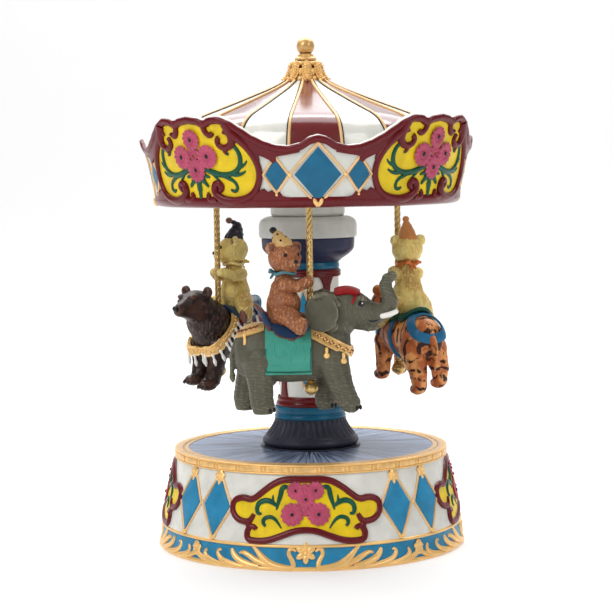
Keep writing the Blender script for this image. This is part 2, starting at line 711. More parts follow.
def buildPlinth():
    s = columnSettings
    bore, low, top = s["bore"], s["low"], s["top"]
    bm = bmesh.new()
    lathe(bm, rounded([(bore, 51.3), (10.1, 51.3), (10.1, 48.4), (22.6, 48.4, 0.8), (24.0, 50.2, 2.2),
                       (22.9, 52.4, 1.0), (22.2, 52.6, 0.4), (22.1, 53.3, 0.4), (20.6, 55.0, 1.2), (18.9, 57.6, 1.6),
                       (17.7, 60.0, 1.0), (17.5, 61.4), (bore, 61.4)], 6), s["flutes"] * 8)
    for vert in bm.verts:
        x, y, z = vert.co
        reach = vert.co.xy.length
        if z > 52.9 and reach > 14.0:
            fade = min(1.0, (z - 52.9) / 0.9) * min(1.0, max(0.0, (61.2 - z) / 0.7))
            dent = s["fluteDepth"] * fade * (0.5 + 0.5 * cos(s["flutes"] * atan2(y, x))) ** 2
            vert.co = Vector((x * (1 - dent / reach), y * (1 - dent / reach), z))
    finishPiece("plinthFluted", bm, "carousel", "slatePaint", ["plinth"], 60.0)
    turned("collarLower", "carousel", "tealPaint", ["lower_collar"],
           [(bore, 61.4), (17.4, 61.4, 0.4), (17.7, 62.6, 0.8), (17.0, 63.6, 0.3), (17.5, 64.6, 0.8), (17.4, 67.2, 0.8),
            (16.8, low, 0.3), (bore, low)])
    turned("collarUpper", "carousel", "tealPaint", ["upper_collar"],
           [(bore, top), (15.0, top, 0.5), (15.3, 136.2, 0.9), (14.8, 138.3, 0.5), (bore, 138.3)])


def buildColumn():
    # white drum with red pilasters, brackets and mouldings, and a tall blue diamond in each panel
    s = columnSettings
    bore, core, low, top = s["bore"], s["core"], s["low"], s["top"]
    turned("columnDrum", "carousel", "creamWhitePaint", ["column_shaft"],
           [(bore, low), (core, low), (core, top), (bore, top)])
    red, blue, lines = blanks(3)
    for profile in ([(core - 0.5, low), (16.6, low, 0.3), (16.8, 68.9, 0.8), (16.0, 70.2, 0.5), (16.2, 71.4, 0.7),
                     (15.6, 72.6, 0.3), (core - 0.5, 72.6)],
                    [(core - 0.5, 131.0), (15.6, 131.0, 0.3), (16.0, 131.8, 0.3), (15.7, 132.7, 0.3),
                     (16.1, 133.4, 0.4), (15.4, top, 0.5), (core - 0.5, top)]):
        ring = bmesh.new()
        lathe(ring, rounded(profile, 4), 128)
        gathered(red, ring)
    wall = {"around": 15.4, "radius": lambda z: core}
    pilaster = [(2.6, 72.2), (2.2, 75.0), (1.8, 78.0), (1.7, 124.4), (2.0, 127.0), (2.8, 128.8), (3.6, 130.4),
                (4.6, 131.4)]
    outline = pilaster + [(-x, z) for x, z in pilaster[::-1]]
    for i in range(s["panels"]):
        turn = s["turn"] + 360.0 * i / s["panels"]
        laid(red, cutOut(outline, 1.0, 0.25), wall, turn + 45.0, strip=1.2)
        diamond(blue, lines, wall, turn, 0, s["middle"], *s["diamond"], s["lozenge"])
    finishPiece("columnTrim", red, "carousel", "columnRedPaint")
    finishPiece("columnDiamonds", blue, "carousel", "diamondBluePaint", sharp=30.0)
    finishPiece("columnLines", lines, "carousel", "tanGoldLine")


def buildCapital():
    bore = columnSettings["bore"]
    for name, node, finish, slot, profile in (
        ("capitalCup", "capital_cup", "navyPaint", "navy_resin",
         [(bore, 138.3), (15.4, 138.3, 0.3), (16.2, 139.2, 0.6), (20.6, 142.2, 2.0), (22.5, 144.4, 1.4),
          (22.8, 149.4, 0.3), (22.6, 150.0, 0.3), (bore, 150.0)]),
        ("capitalDrum", "capital_drum", "shadedWhitePaint", "white_resin",
         [(bore, 150.0), (23.6, 150.0, 0.4), (24.0, 151.4, 0.6), (24.0, 158.2, 3.0), (20.2, 160.3, 1.2),
          (bore, 160.3)]),
        ("hubPlate", "hub_plate", "shadedWhitePaint", "white_resin",
         [(bore, 160.3), (17.4, 160.3, 0.5), (18.2, 161.6, 0.9), (18.2, 167.2), (bore, 167.2)]),
    ):
        turned(name, "carousel", finish, [node], profile, 6, 160, 40.0)


buildPlinth()
buildColumn()
buildCapital()
print("column done")


# canopy

canopySettings = {
    "low": 168.2, "top": 207.8, "turn": 6.0, "wall": 3.0, "columns": 720, "rows": 30, "frameWeight": 1.45,
    "middle": 181.0, "diamonds": [(0.0, 10.9, 12.4), (-19.6, 5.0, 7.2), (19.6, 5.0, 7.2)],
    "lozenge": {"height": 0.55, "sit": 0.0, "line": 0.72, "rise": 0.25, "flat": 0.8, "reach": 1.19, "strip": 2.0},
}
# drop of the wavy top below its highest lobe, by degrees from the middle of a diamond panel
waveKnots = [(0, 9.4), (2.5, 10.2), (6, 13.0), (10, 14.2), (14, 13.7), (18, 11.9), (22, 9.2), (26, 5.6), (29.5, 2.4),
             (33, 0.5), (36, 0.8), (38.2, 2.4), (39, 2.4), (41, 0.9), (45, 0.2)]


def waveDrop(degrees):
    a = abs((degrees + 45.0) % 90.0 - 45.0)
    for (a0, d0), (a1, d1) in zip(waveKnots, waveKnots[1:]):
        if a <= a1:
            t = (a - a0) / (a1 - a0)
            return d0 + (d1 - d0) * t * t * (3 - 2 * t) * 0.4 + (d1 - d0) * t * 0.6
    return waveKnots[-1][1]


def fasciaRadius(z):
    t = (z - 169.0) / 39.8
    return 73.4 + 6.7 * t + 2.9 * t * t


fasciaWall = {"around": 78.0, "radius": fasciaRadius}
fasciaDegree = fasciaWall["around"] * pi / 180.0    # millimetres of sheet in one degree
# right half of a flower panel's outline, from the top middle down to the lower middle
flowerField = [(0, 207.4), (5, 207.2), (8.4, 206.2), (12, 207.2), (17, 205.4), (22, 201.0), (26.5, 196.6),
               (31.0, 190.0), (33.9, 182.4), (32.6, 175.6), (28.5, 171.0), (22, 168.8), (12, 168.4), (0, 168.6)]


def inside(x, z, outline):
    hit = False
    for (x0, z0), (x1, z1) in zip(outline, outline[1:] + outline[:1]):
        if (z0 > z) != (z1 > z) and x < x0 + (x1 - x0) * (z - z0) / (z1 - z0):
            hit = not hit
    return hit


def buildFascia():
    s = canopySettings
    bm = bmesh.new()
    bmesh.ops.create_grid(bm, x_segments=s["columns"], y_segments=s["rows"], size=1.0)
    for vert in bm.verts:
        degrees = vert.co.x * 180.0
        top = s["top"] - waveDrop(degrees)
        z = s["low"] + (0.5 + 0.5 * vert.co.y) * (top - s["low"])
        angle = radians(degrees + s["turn"])
        vert.co = (fasciaRadius(z) * sin(angle), -fasciaRadius(z) * cos(angle), z)
    bmesh.ops.remove_doubles(bm, verts=bm.verts, dist=0.001)
    outline = bothHalves(flowerField)
    for face in bm.faces:
        centre = face.calc_center_median()
        degrees = atan2(centre.x, -centre.y) * (180.0 / pi) - s["turn"]
        x = ((degrees % 90.0) - 45.0) * fasciaDegree
        face.material_index = 1 if inside(x, centre.z, outline) else 0
    shelled(bm, s["wall"])
    for face in bm.faces:
        centre = face.calc_center_median()
        if centre.xy.length < fasciaRadius(centre.z) - 0.4:
            face.material_index = 0
    finishPiece("fasciaWall", bm, "carousel", "canopyWhitePaint yellowFieldPaint", ["canopy_fascia"],
                40.0)
    turned("fasciaFoot", "carousel", "burgundyPaint", (),
           [(66.9, 166.05), (70.0, 166.0, 0.5), (72.9, 166.5, 1.0), (74.4, 168.2, 1.2), (74.6, 170.0, 0.8),
            (73.6, 171.2, 0.6), (71.4, 171.2), (70.2, 169.0), (70.2, 167.2), (66.9, 167.2)], 5, 256, 40.0)


def topPath(drop):
    # points along the wavy edge, from the middle of one flower panel to the next
    return [(a * fasciaDegree, canopySettings["top"] - waveDrop(a) - drop) for a in range(-45, 46)]


def canopyDaisies():
    spots = ((0.0, 197.2, 4.7, 0.1), (-8.0, 189.4, 5.2, 0.4), (8.0, 189.6, 5.2, 0.7), (0.2, 183.4, 5.1, 0.25))
    flowers, eyes = blanks(2)
    for x, z, r, turn in spots:
        daisy(flowers, x, z, r, 13, turn)
        ball(eyes, (x, -1.05, z), (0.17 * r, 0.5, 0.21 * r))
    for x, z in ((-2.8, 190.6), (2.8, 190.4), (0, 187.8), (0, 192.2), (-4.6, 185.8), (4.6, 185.8)):
        for i in range(6):
            angle = pi * i / 3 + x
            spot = Vector((x + 1.2 * cos(angle), -0.2, z + 1.2 * sin(angle)))
            ball(flowers, spot, (1.3, 0.6, 0.75), about("Y", -angle), 8, 5)
    return flowers, eyes


def canopyLeaves():
    tendrils = mirroredPaths([
        [(5.0, 184.0, 1.1), (9, 182.6, 1.5), (14, 181.2, 1.35), (19.5, 181.4, 1.25), (24.2, 184.0, 1.2),
         (25.4, 189.0, 1.15), (23.6, 193.6, 1.0), (20.0, 195.2, 0.9), (17.4, 193.4, 0.85), (17.6, 190.8, 0.8),
         (19.6, 190.6, 0.55)],
        [(13.6, 181.4, 0.9), (17.6, 180.0, 1.0), (21.4, 178.0, 0.85), (22.4, 174.8, 0.85), (20.2, 173.4, 0.8),
         (18.6, 174.6, 0.6)],
        [(20.6, 181.4, 1.0), (24.6, 180.8, 0.9), (27.2, 183.0, 0.4)],
        [(23.8, 184.6, 0.9), (27.0, 185.2, 0.8), (28.2, 187.6, 0.3)],
        [(9.0, 182.8, 1.1), (10.6, 180.0, 0.9), (13.2, 178.6, 0.35)],
    ])
    bm = stroke(tendrils, 1.0, resolution=6)
    for angle, length, size in ((-74, 7.2, 1.5), (-42, 8.2, 1.7), (0, 11.4, 2.0), (42, 8.2, 1.7), (74, 7.2, 1.5)):
        a = radians(angle)
        for share, width in ((0.3, 1.0), (0.58, 0.85), (0.84, 0.55)):
            spot = Vector((share * length * sin(a), -0.35, 182.4 - share * length * cos(a)))
            ball(bm, spot, (size * width, 0.75, 0.26 * length), about("Y", -a))
    return bm


def canopyFrames():
    # burgundy scrollwork of one flower panel: brackets at the sides, hooks under the lobes, volutes below
    paths = mirroredPaths([
        [(21.5, 200.4, 1.5), (26.6, 196.4, 1.25), (31.0, 191.0, 1.1), (33.8, 185.0, 1.05), (33.9, 179.0, 1.05),
         (31.4, 173.6, 1.1), (27.0, 170.4, 1.2), (20.0, 169.2, 1.3), (14.6, 169.8, 1.4), (10.6, 171.6, 1.45),
         (9.2, 174.6, 1.35), (10.4, 177.4, 1.2), (13.0, 177.4, 1.1), (14.0, 175.2, 1.05), (12.2, 174.0, 0.8)],
        [(20.0, 204.0, 1.6), (22.4, 199.4, 1.5), (22.0, 195.0, 1.25), (18.6, 193.2, 1.05), (15.2, 194.2, 0.95),
         (14.2, 197.0, 0.85), (15.8, 198.2, 0.8)],
        [(8.6, 206.2, 1.2), (8.2, 203.4, 1.0), (9.0, 200.4, 0.95), (11.4, 198.6, 0.9), (12.8, 200.4, 0.8)],
        [(10.0, 170.2, 1.2), (6.4, 169.4, 1.1), (4.6, 171.4, 0.9), (5.8, 173.0, 0.7)],
        [(18.6, 193.4, 0.9), (17.6, 191.6, 0.8), (18.6, 190.4, 0.3)],
    ])
    return stroke(paths, canopySettings["frameWeight"], resolution=7, rings=3)


# lower side of a leafy spandrel and the leaf on the lower edge, by degrees from a diamond panel's middle
spandrelEdge = [(32.0, 200.0), (29.4, 198.4), (26.4, 195.4), (23.4, 191.2), (21.2, 187.0), (19.6, 187.6), (19.9, 190.0),
                (17.6, 188.6), (16.4, 187.8), (15.2, 186.2), (13.9, 187.2), (13.9, 189.2), (12.2, 189.6), (10, 190.0),
                (6, 191.0)]
lowLeaf = [(9.5, 170.6), (12.2, 171.4), (13.4, 173.4), (14.8, 172.2), (16.0, 174.2), (17.6, 173.4), (18.8, 175.0),
           (20.6, 174.0), (22.4, 172.4), (24.0, 169.2), (9.5, 169.2)]


def buildCanopyRelief():
    s = canopySettings
    frames, flowers, eyes, leaves, lozenges, lines, knots, peaks = blanks(8)
    middle = s["middle"]
    spandrel = [(a, s["top"] - waveDrop(a) - 0.6) for a in (6, 10, 14, 18, 22, 26, 30)] + spandrelEdge
    for turn in quarters:
        here = s["turn"] + turn
        blooms, hearts = canopyDaisies()
        laid(frames, canopyFrames(), fasciaWall, here + 45.0, 0.3, 0.95)
        laid(flowers, blooms, fasciaWall, here + 45.0, 0.2)
        laid(eyes, hearts, fasciaWall, here + 45.0, 0.45)
        laid(leaves, canopyLeaves(), fasciaWall, here + 45.0, 0.1, 0.75)
        laid(frames, stroke([topPath(1.3)], 1.75, resolution=2, rings=3), fasciaWall, here, 0.15, 0.95)
        laid(peaks, stroke([topPath(0.2)], 0.55, resolution=2), fasciaWall, here, -0.9)
        for side in (-1, 1):
            for outline, height, lift in ((spandrel, 1.1, -0.1), (lowLeaf, 1.0, 0.0)):
                plate = cutOut([(side * a * fasciaDegree, z) for a, z in outline], height, 0.35)
                laid(frames, plate, fasciaWall, here, lift, strip=2.0)
        for x, half, tall in s["diamonds"]:
            diamond(lozenges, lines, fasciaWall, here, x, middle, half, tall, s["lozenge"])
        sprig = bmesh.new()
        for x in (-1.3, 1.3):
            ball(sprig, (x, -0.6, 168.6), (1.0, 0.9, 1.9), about("Y", 0.35 * x), 10, 8)
        ball(sprig, (0, -0.7, 167.6), (1.0, 0.8, 1.1), None, 10, 8)
        for x in (-19.6, 19.6):
            ball(sprig, (x, -0.2, 172.0), (0.9, 0.7, 1.0))
        for x in (-13.0, 13.0):
            ball(sprig, (x, -0.2, middle), (1.0, 0.6, 0.8))
        laid(knots, sprig, fasciaWall, here, 0.3)
    finishPiece("canopyFrames", frames, "carousel", "burgundyPaint", merge=fineMerge)
    finishPiece("canopyLip", peaks, "carousel", "creamWhitePaint")
    finishPiece("canopyDaisies", flowers, "carousel", "daisyPinkPaint", merge=fineMerge)
    finishPiece("canopyDaisyEyes", eyes, "carousel", "darkDotPaint")
    finishPiece("canopyLeaves", leaves, "carousel", "leafGreenPaint", merge=fineMerge)
    finishPiece("canopyDiamonds", lozenges, "carousel", "canopyBluePaint", sharp=30.0)
    finishPiece("canopyLines", lines, "carousel", "tanGoldLine")
    finishPiece("canopyKnots", knots, "carousel", "antiqueGoldPaint", merge=fineMerge)


roofSettings = {
    "gores": 16, "wall": 2.2, "rib": 0.75, "shadow": 0.34, "beside": 0.95, "rise": 0.12,
    "dark": srgb(112, 34, 36), "light": srgb(230, 229, 221),
}
roofProfile = [(64.0, 169.7), (63.8, 182.0), (62.6, 194.4), (61.2, 199.6), (58.6, 203.8), (55.2, 206.9), (51.4, 209.0),
               (46.6, 210.8), (41.0, 212.9), (35.4, 215.0), (29.6, 217.3), (24.0, 219.5), (19.0, 221.5), (15.2, 223.2),
               (12.2, 224.8), (10.6, 225.8)]


def roofPaint():
    # alternate burgundy and white gores
    s = roofSettings
    shader, coords = startMaterial("roofStripePaint")
    x, y, _ = coords.parts()
    angle = x.op("ARCTAN2", x, 0.0 - y) - radians(canopySettings["turn"])
    gore = (angle * (s["gores"] / (4 * pi)) + 8.25).op("FRACT")
    mask = (gore - 0.25).op("ABSOLUTE").step(0.249, 0.251)
    finishPaint(shader, coords, mask.blend(s["dark"], s["light"]), 0.2, 0.8, 0.0, None, 0.0001, 0.02, 0.08)
    feed(shader, "Coat Roughness", 0.12)


def buildRoof():
    s = roofSettings
    dense = stroke([roofProfile], 0.0, resolution=8)
    path = sorted([(v.co.x, v.co.z) for v in dense.verts], key=lambda p: p[1])
    dense.free()
    bm = bmesh.new()
    lathe(bm, path, 256, closed=False)
    bmesh.ops.remove_doubles(bm, verts=bm.verts, dist=0.001)
    shelled(bm, s["wall"])
    roofPaint()
    finishPiece("roofShell", bm, "carousel", "roofStripePaint", ["canopy_roof"], 60.0)
    ribs, shadows = blanks(2)
    for i in range(s["gores"]):
        turn = canopySettings["turn"] + (i + 0.5) * 360.0 / s["gores"]
        beside = s["beside"] if i % 2 == 0 else -s["beside"]
        for target, aside, depth in ((ribs, 0.0, s["rib"]), (shadows, beside, s["shadow"])):
            rib = stroke([roofProfile], depth, resolution=4)
            for vert in rib.verts:
                r, y, z = vert.co
                vert.co = (y + aside, -r - 0.4 * s["rise"], z + s["rise"])
            swung(rib, turn, rib.verts)
            gathered(target, rib)
    finishPiece("roofRibs", ribs, "carousel", "tanGoldLine")
    finishPiece("roofRibShadows", shadows, "carousel", "darkDotPaint")
    turned("ceilingDisc", "carousel", "creamWhitePaint", ["canopy_ceiling"],
           [(2.52, 167.2), (70.15, 167.2), (70.15, 169.7), (2.52, 169.7)], steps=192, sharp=30.0)


def buildCrown():
    # leaf collar: eight drooping acanthus leaves with oval drops between them, on stepped collars
    bm = bmesh.new()
    lathe(bm, rounded([(2.6, 226.0), (9.0, 226.0, 0.3), (8.2, 228.0, 0.8), (6.6, 230.6, 0.8), (6.0, 232.6, 0.6),
                       (7.6, 234.0, 0.5), (7.2, 235.2, 0.4), (5.0, 235.6, 0.4), (5.4, 236.6, 0.4), (4.4, 237.7, 0.4),
                       (2.6, 237.7)], 4), 96)
    for i in range(8):
        leaf, bud = blanks(2)
        path = [(6.4, 234.6, 1.5), (7.9, 233.0, 2.0), (8.4, 230.4, 2.2), (9.3, 228.2, 1.9), (10.6, 226.6, 1.2),
                (11.4, 226.5, 0.5)]
        for k, (r, z, w) in enumerate(path[:-1]):
            for t in (0.0, 0.5):
                r2, z2, w2 = [a + (b - a) * t for a, b in zip((r, z, w), path[k + 1])]
                ball(leaf, (0, -r2, z2), (w2 * 0.95, 0.62, 1.25), about("X", radians(24 + 9 * k)), 10, 6)
                for side in (-1, 1):
                    lobe = (side * w2 * 0.85, 0.35 - r2, z2 - 0.3)
                    ball(leaf, lobe, (0.62, 0.45, 0.95), about("Y", 0.5 * side), 8, 5)
        verts = ball(leaf, (0, -8.0, 229.9), (1.0, 0.75, 1.7), None, 10, 8)
        verts += ball(leaf, (0, -7.7, 229.9), (1.5, 0.5, 2.2), None, 12, 8)
        verts += ball(leaf, (0, -9.6, 226.7), (1.1, 0.7, 1.3), None, 10, 8)
        swung(leaf, 22.5, verts)
        swung(leaf, 45.0 * i + 6.0, leaf.verts)
        gathered(bm, leaf)
        ball(bud, (0, -7.4, 234.3), (1.1, 0.9, 0.9), None, 10, 6)
        swung(bud, 45.0 * i + 28.5, bud.verts)
        gathered(bm, bud)
    finishPiece("leafCrown", bm, "carousel", "antiqueGoldPaint", ["crown"], merge=fineMerge)
    bm = bmesh.new()
    ringPoints = [(4.35 * cos(radians(a)), 242.78 + 4.35 * sin(radians(a))) for a in range(-52, 91, 6)]
    lathe(bm, [(2.55, 237.75), (3.8, 237.75), (3.8, 238.7), (2.9, 239.2), *ringPoints[:-1], (0.0, 247.13)], 64,
          closed=False)
    finishPiece("finialBall", bm, "carousel", "antiqueGoldPaint", ["finial"])


buildFascia()
buildCanopyRelief()
buildRoof()
buildCrown()
print("canopy done")


# poles

poleSettings = {"circle": 52.5, "radius": 1.6, "low": 79.6, "top": 173.0, "pitch": 12.4, "strands": 4, "around": 40,
                "steps": 180}
poleAngles = {"elephant": 273.0, "tiger": 33.0, "bear": 153.0}


def polePlace(name, z=0.0):
    # middle of a figure's pole at a height
    a = radians(poleAngles[name])
    return Vector((poleSettings["circle"] * cos(a), poleSettings["circle"] * sin(a), z))


def brassPaint():
    shader, coords = startMaterial("twistedBrass")
    tarnish = coords.grain(260.0, 4.0).step(0.45, 0.7)
    deep = cavity(coords).step(0.46, 0.62)
    colour = (tarnish * 0.1 + deep * 0.85).blend(srgb(208, 174, 110), srgb(88, 60, 26))
    finishPaint(shader, coords, colour, 0.28, 0.0, 0.75, None, 0.0001, 0.1)


def buildPoles():
    # rope-twisted rod: a lobed section turned as it rises
    s = poleSettings
    around, steps = s["around"], s["steps"]
    height = s["top"] - s["low"]
    brassPaint()
    for name in poleAngles:
        bm = bmesh.new()
        ring = []
        for i in range(around):
            a = 2 * pi * i / around
            r = s["radius"] * (0.8 + 0.2 * abs(cos(0.5 * s["strands"] * a)))
            ring.append(bm.verts.new((r * cos(a), r * sin(a), s["low"])))
        edges = [bm.edges.new((ring[i], ring[(i + 1) % around])) for i in range(around)]
        bmesh.ops.spin(bm, geom=ring + edges, cent=(0, 0, 0), axis=(0, 0, 1), dvec=(0, 0, height / steps),
                       angle=height / s["pitch"] * 2 * pi, steps=steps)
        bmesh.ops.holes_fill(bm, edges=[e for e in bm.edges if e.is_boundary], sides=around)
        bmesh.ops.translate(bm, vec=polePlace(name), verts=bm.verts)
        finishPiece(name + "PoleTwist", bm, "carousel", "twistedBrass", [name + "_pole"], 70.0)
    bm = bmesh.new()
    for name in poleAngles:
        ball(bm, polePlace(name, 82.1), (3.4, 3.4, 3.4), None, 32, 20)
        for z, r, h in ((85.1, 2.5, 0.7), (78.9, 1.2, 0.5)):
            ball(bm, polePlace(name, z), (r, r, h), None, 24, 10)
    finishPiece("poleEndBalls", bm, "carousel", "twistedBrass", ["pole_balls"], merge=fineMerge)


buildPoles()
print("poles done")


# figures: each is drawn in its own frame, pole at the origin, facing +X, feet at height 0

figureSettings = {"feet": 71.1, "skin": 0.6, "fur": 0.5}
headingTurns = {"elephant": 0.0, "bear": -12.0, "tiger": -9.0}    # degrees off the line along the circle


def heading(name):
    return radians(poleAngles[name] + 90.0 + headingTurns[name])


def figurePiece(name, bm, figure, finish, nodes=()):
    # move a piece from its figure's frame to its place
    matrix = Matrix.Translation(polePlace(figure, figureSettings["feet"])) @ about("Z", heading(figure))
    bmesh.ops.transform(bm, matrix=matrix, verts=bm.verts)
    finishPiece(name, bm, "carousel", finish, nodes, 60.0, fineMerge)


def limb(bm, stops):
    # tapering round limb with a ball at each stop (x, y, z, radius)
    curve = roundCurve(1.0, 3)
    addSpline(curve, stops)
    gathered(bm, evaluated(curve, bpy.data.curves))
    for x, y, z, r in stops:
        joint = bmesh.new()
        ball(joint, (x, y, z), (r, r, r), None, 14, 8)
        gathered(bm, joint)


def barrel(bm, rows, around=32):
    # closed skin through upright ovals (x, middle height, half width, half height), eased from row to row
    dense = []
    for i in range(len(rows) - 1):
        near = [rows[max(i - 1, 0)], rows[i], rows[i + 1], rows[min(i + 2, len(rows) - 1)]]
        for k in range(4):
            t = k / 4
            dense.append([0.5 * (2 * b + (c - a) * t + (2 * a - 5 * b + 4 * c - d) * t * t
                                 + (3 * b - a - 3 * c + d) * t ** 3) for a, b, c, d in zip(*near)])
    dense.append(rows[-1])
    rings = []
    for x, z, w, h in dense:
        matrix = Matrix.Translation((x, 0, z)) @ about("Y", pi / 2) @ Matrix.Diagonal((h, w, 1.0, 1.0))
        atEnd = x == rows[-1][0] or not rings
        circle = bmesh.ops.create_circle(bm, cap_ends=atEnd, segments=around, radius=1.0, matrix=matrix)
        rings.append(circle["verts"])
    for ring, after in zip(rings, rings[1:]):
        loops = {edge for vert in ring + after for edge in vert.link_edges
                 if edge.other_vert(vert) in ring or edge.other_vert(vert) in after}
        loops = [edge for edge in loops if (edge.verts[0] in ring) == (edge.verts[1] in ring)]
        bmesh.ops.bridge_loops(bm, edges=loops)


def fused(bm, voxel, rounds=4):
    # one skin over overlapping shapes
    bmesh.ops.recalc_face_normals(bm, faces=bm.faces)
    mesh = bpy.data.meshes.new("blob")
    bm.to_mesh(mesh)
    bm.free()
    return evaluated(mesh, bpy.data.meshes, (("REMESH", {"mode": "VOXEL", "voxel_size": voxel}),
                                             ("SMOOTH", {"factor": 0.5, "iterations": rounds})))


def torsoAndShape(rows):
    # the bare torso's skin, which saddles and straps follow, and a shape that starts from the same torso
    torso, shape = blanks(2)
    barrel(torso, rows)
    barrel(shape, rows)
    return fused(torso, figureSettings["skin"], 3), shape


def worked(bm, rule):
    # push each point of a skin along its normal
    bm.normal_update()
    shifts = [vert.normal * rule(vert.co) for vert in bm.verts]
    for vert, shift in zip(bm.verts, shifts):
        vert.co += shift
    return bm


def layer(body, lift, thick, planes=(), outline=None, hang=None):
    # cloth or strap over a body: its skin inside the planes and the side outline, lifted and thickened
    out = body.copy()
    for point, way in planes:
        cutAway(out, point, way)
    if outline:
        spare = [f for f in out.faces if not inside(f.calc_center_median().x, f.calc_center_median().z, outline)]
        bmesh.ops.delete(out, geom=spare, context="FACES")
    out.normal_update()
    shifts = [vert.normal * (lift + thick) for vert in out.verts]
    for vert, shift in zip(out.verts, shifts):
        vert.co += shift
        if hang and vert.co.z < hang[0]:
            vert.co.y = copysign(max(abs(vert.co.y), hang[1]), vert.co.y)
    bmesh.ops.solidify(out, geom=out.faces[:], thickness=thick)
    return out


def beltSpots(tree, origin, lean, angles):
    # places round a body in a leaning plane, with the outward direction at each
    way = Vector((cos(radians(lean)), 0, sin(radians(lean))))
    spots = []
    for angle in angles:
        ray = way * cos(radians(angle)) + Vector((0, sin(radians(angle)), 0))
        hit = tree.ray_cast(Vector(origin), ray)
        if hit[0] is not None:
            spots.append((hit[0], hit[1] if hit[1].dot(ray) > 0 else -hit[1]))
    return spots


def stud(bm, place, normal, sizes, spin=0.0, segments=8, rings=6):
    turn = normal.to_track_quat("Z", "Y").to_matrix().to_4x4() @ about("Z", spin)
    ball(bm, place, sizes, turn, segments, rings)


def sideHit(tree, x, z, side):
    # where a level ray meets a figure's left (+1) or right (-1) side, and the skin's direction there
    return tree.ray_cast(Vector((x, 60.0 * side, z)), Vector((0, -side, 0)))[:2]


def pressed(target, sheet, tree, side, lift=0.0):
    # add a flat sheet drawn in (x, height) to a piece, laid on a figure's side
    lost = []
    for vert in sheet.verts:
        x, y, z = vert.co
        spot, way = sideHit(tree, x, z, side)
        if spot is None:
            lost.append(vert)
        else:
            vert.co = spot + (way if way.y * side > 0 else -way) * (lift - y)
    bmesh.ops.delete(sheet, geom=lost, context="VERTS")
    gathered(target, sheet)


def hidePaint(name, colour, dark, light, rough=0.48, coat=0.15, patch=None, soft=1.0):
    # brushed resin hide: dark wash in the hollows, dry-brushed light on the ridges
    shader, coords = startMaterial(name)
    deep = cavity(coords)
    speckle = coords.grain(500.0, 4.0)
    if patch:
        colour = coords.grain(75.0, 2.0).step(0.44, 0.66).blend(colour, patch)
    low = (deep + 0.2 * (speckle - 0.5)).step(0.52, 0.52 + 0.17 * soft)
    high = (deep + 0.25 * (speckle - 0.5)).step(0.48, 0.48 - 0.15 * soft)
    colour = high.blend(low.blend(colour, dark), light)
    finishPaint(shader, coords, colour, rough, coat, 0.0, speckle, 0.0003, 0.3, 0.18)


def localCoords(coords, figure):
    # the figure's own frame, as its pieces are drawn in it
    spot = mm * polePlace(figure, figureSettings["feet"])
    return coords.make("ShaderNodeMapping", {"vector_type": "TEXTURE"},
                       {"Vector": coords, "Location": spot, "Rotation": (0, 0, heading(figure))})


# colours, and how closely folds, stripes and dabs follow each other along a metre
hideSettings = {
    "elephant": {"mid": srgb(90, 88, 73), "dark": srgb(46, 44, 36), "light": srgb(134, 130, 110), "folds": 4400.0,
                 "lean": 700.0, "brow": (0.035, 0.048)},
    "tiger": {"pale": srgb(240, 166, 100), "warm": srgb(192, 104, 54), "dark": srgb(64, 32, 22),
              "hollow": srgb(92, 42, 24), "bands": 1150.0, "legBands": 1400.0, "dabs": 330.0},
    "blanket": {"white": srgb(232, 230, 224), "navy": srgb(34, 44, 78), "red": srgb(150, 40, 38), "stripes": 190.0},
}


def elephantPaint():
    # grey hide with fine folds: level on the legs, ringed on the head and trunk
    s = hideSettings["elephant"]
    shader, coords = startMaterial("elephantHide")
    local = localCoords(coords, "elephant")
    x, _, z = local.parts()
    wander = local.grain(110.0, 3.0)
    across, above = x - s["brow"][0], z - s["brow"][1]
    reach = (across * across + above * above).op("SQRT")
    head = x.step(0.010, 0.016) * z.step(0.032, 0.038)
    level = (z * s["folds"] + x * s["lean"] + wander * 26.0).op("SINE") * z.step(0.032, 0.018)
    ringed = (reach * s["folds"] + wander * 20.0).op("SINE")
    folds = level + (ringed - level) * head
    deep = cavity(coords) + 0.06 * folds
    low = deep.step(0.52, 0.8)
    high = deep.step(0.47, 0.2)
    colour = high.blend(low.blend(s["mid"], s["dark"]), s["light"])
    finishPaint(shader, coords, colour, 0.5, 0.04, 0.0, 0.5 - 0.5 * folds, 0.0003, 0.26, 0.2)


def tigerPaint():
    # orange coat with short dark dabs that gather into stripes
    s = hideSettings["tiger"]
    shader, coords = startMaterial("tigerHide")
    local = localCoords(coords, "tiger")
    x, _, z = local.parts()
    wander = local.grain(90.0, 3.0)
    dabs = local.stretched(1.0, 1.0, 0.55).grain(s["dabs"], 3.0)
    bands = (x * s["bands"] + wander * 13.0).op("SINE")
    legs = (z * s["legBands"] + wander * 16.0).op("SINE")
    low = z.step(0.024, 0.014)
    stripe = (bands + (legs - bands) * low + (dabs - 0.5) * 6.0).step(0.4, 0.9)
    warm = local.grain(150.0, 3.0).step(0.4, 0.56).blend(s["pale"], s["warm"])
    colour = stripe.blend(warm, s["dark"])
    deep = cavity(coords).step(0.52, 0.7)
    finishPaint(shader, coords, deep.blend(colour, s["hollow"]), 0.48, 0.02, 0.0, dabs, 0.0003, 0.3, 0.15)


def stripePaint():
    # bear's blanket: white, navy and red stripes side by side
    s = hideSettings["blanket"]
    shader, coords = startMaterial("blanketStripes")
    local = localCoords(coords, "bear")
    x, _, z = local.parts()
    stripe = ((x + z * 0.5) * s["stripes"] + local.grain(120.0, 2.0) * 0.3).op("FRACT")
    pair = stripe.step(0.36, 0.4).blend(s["white"], s["navy"])
    colour = stripe.step(0.66, 0.7).blend(pair, s["red"])
    finishPaint(shader, coords, colour, 0.4, 0.15, 0.0, None, 0.0002, 0.3)


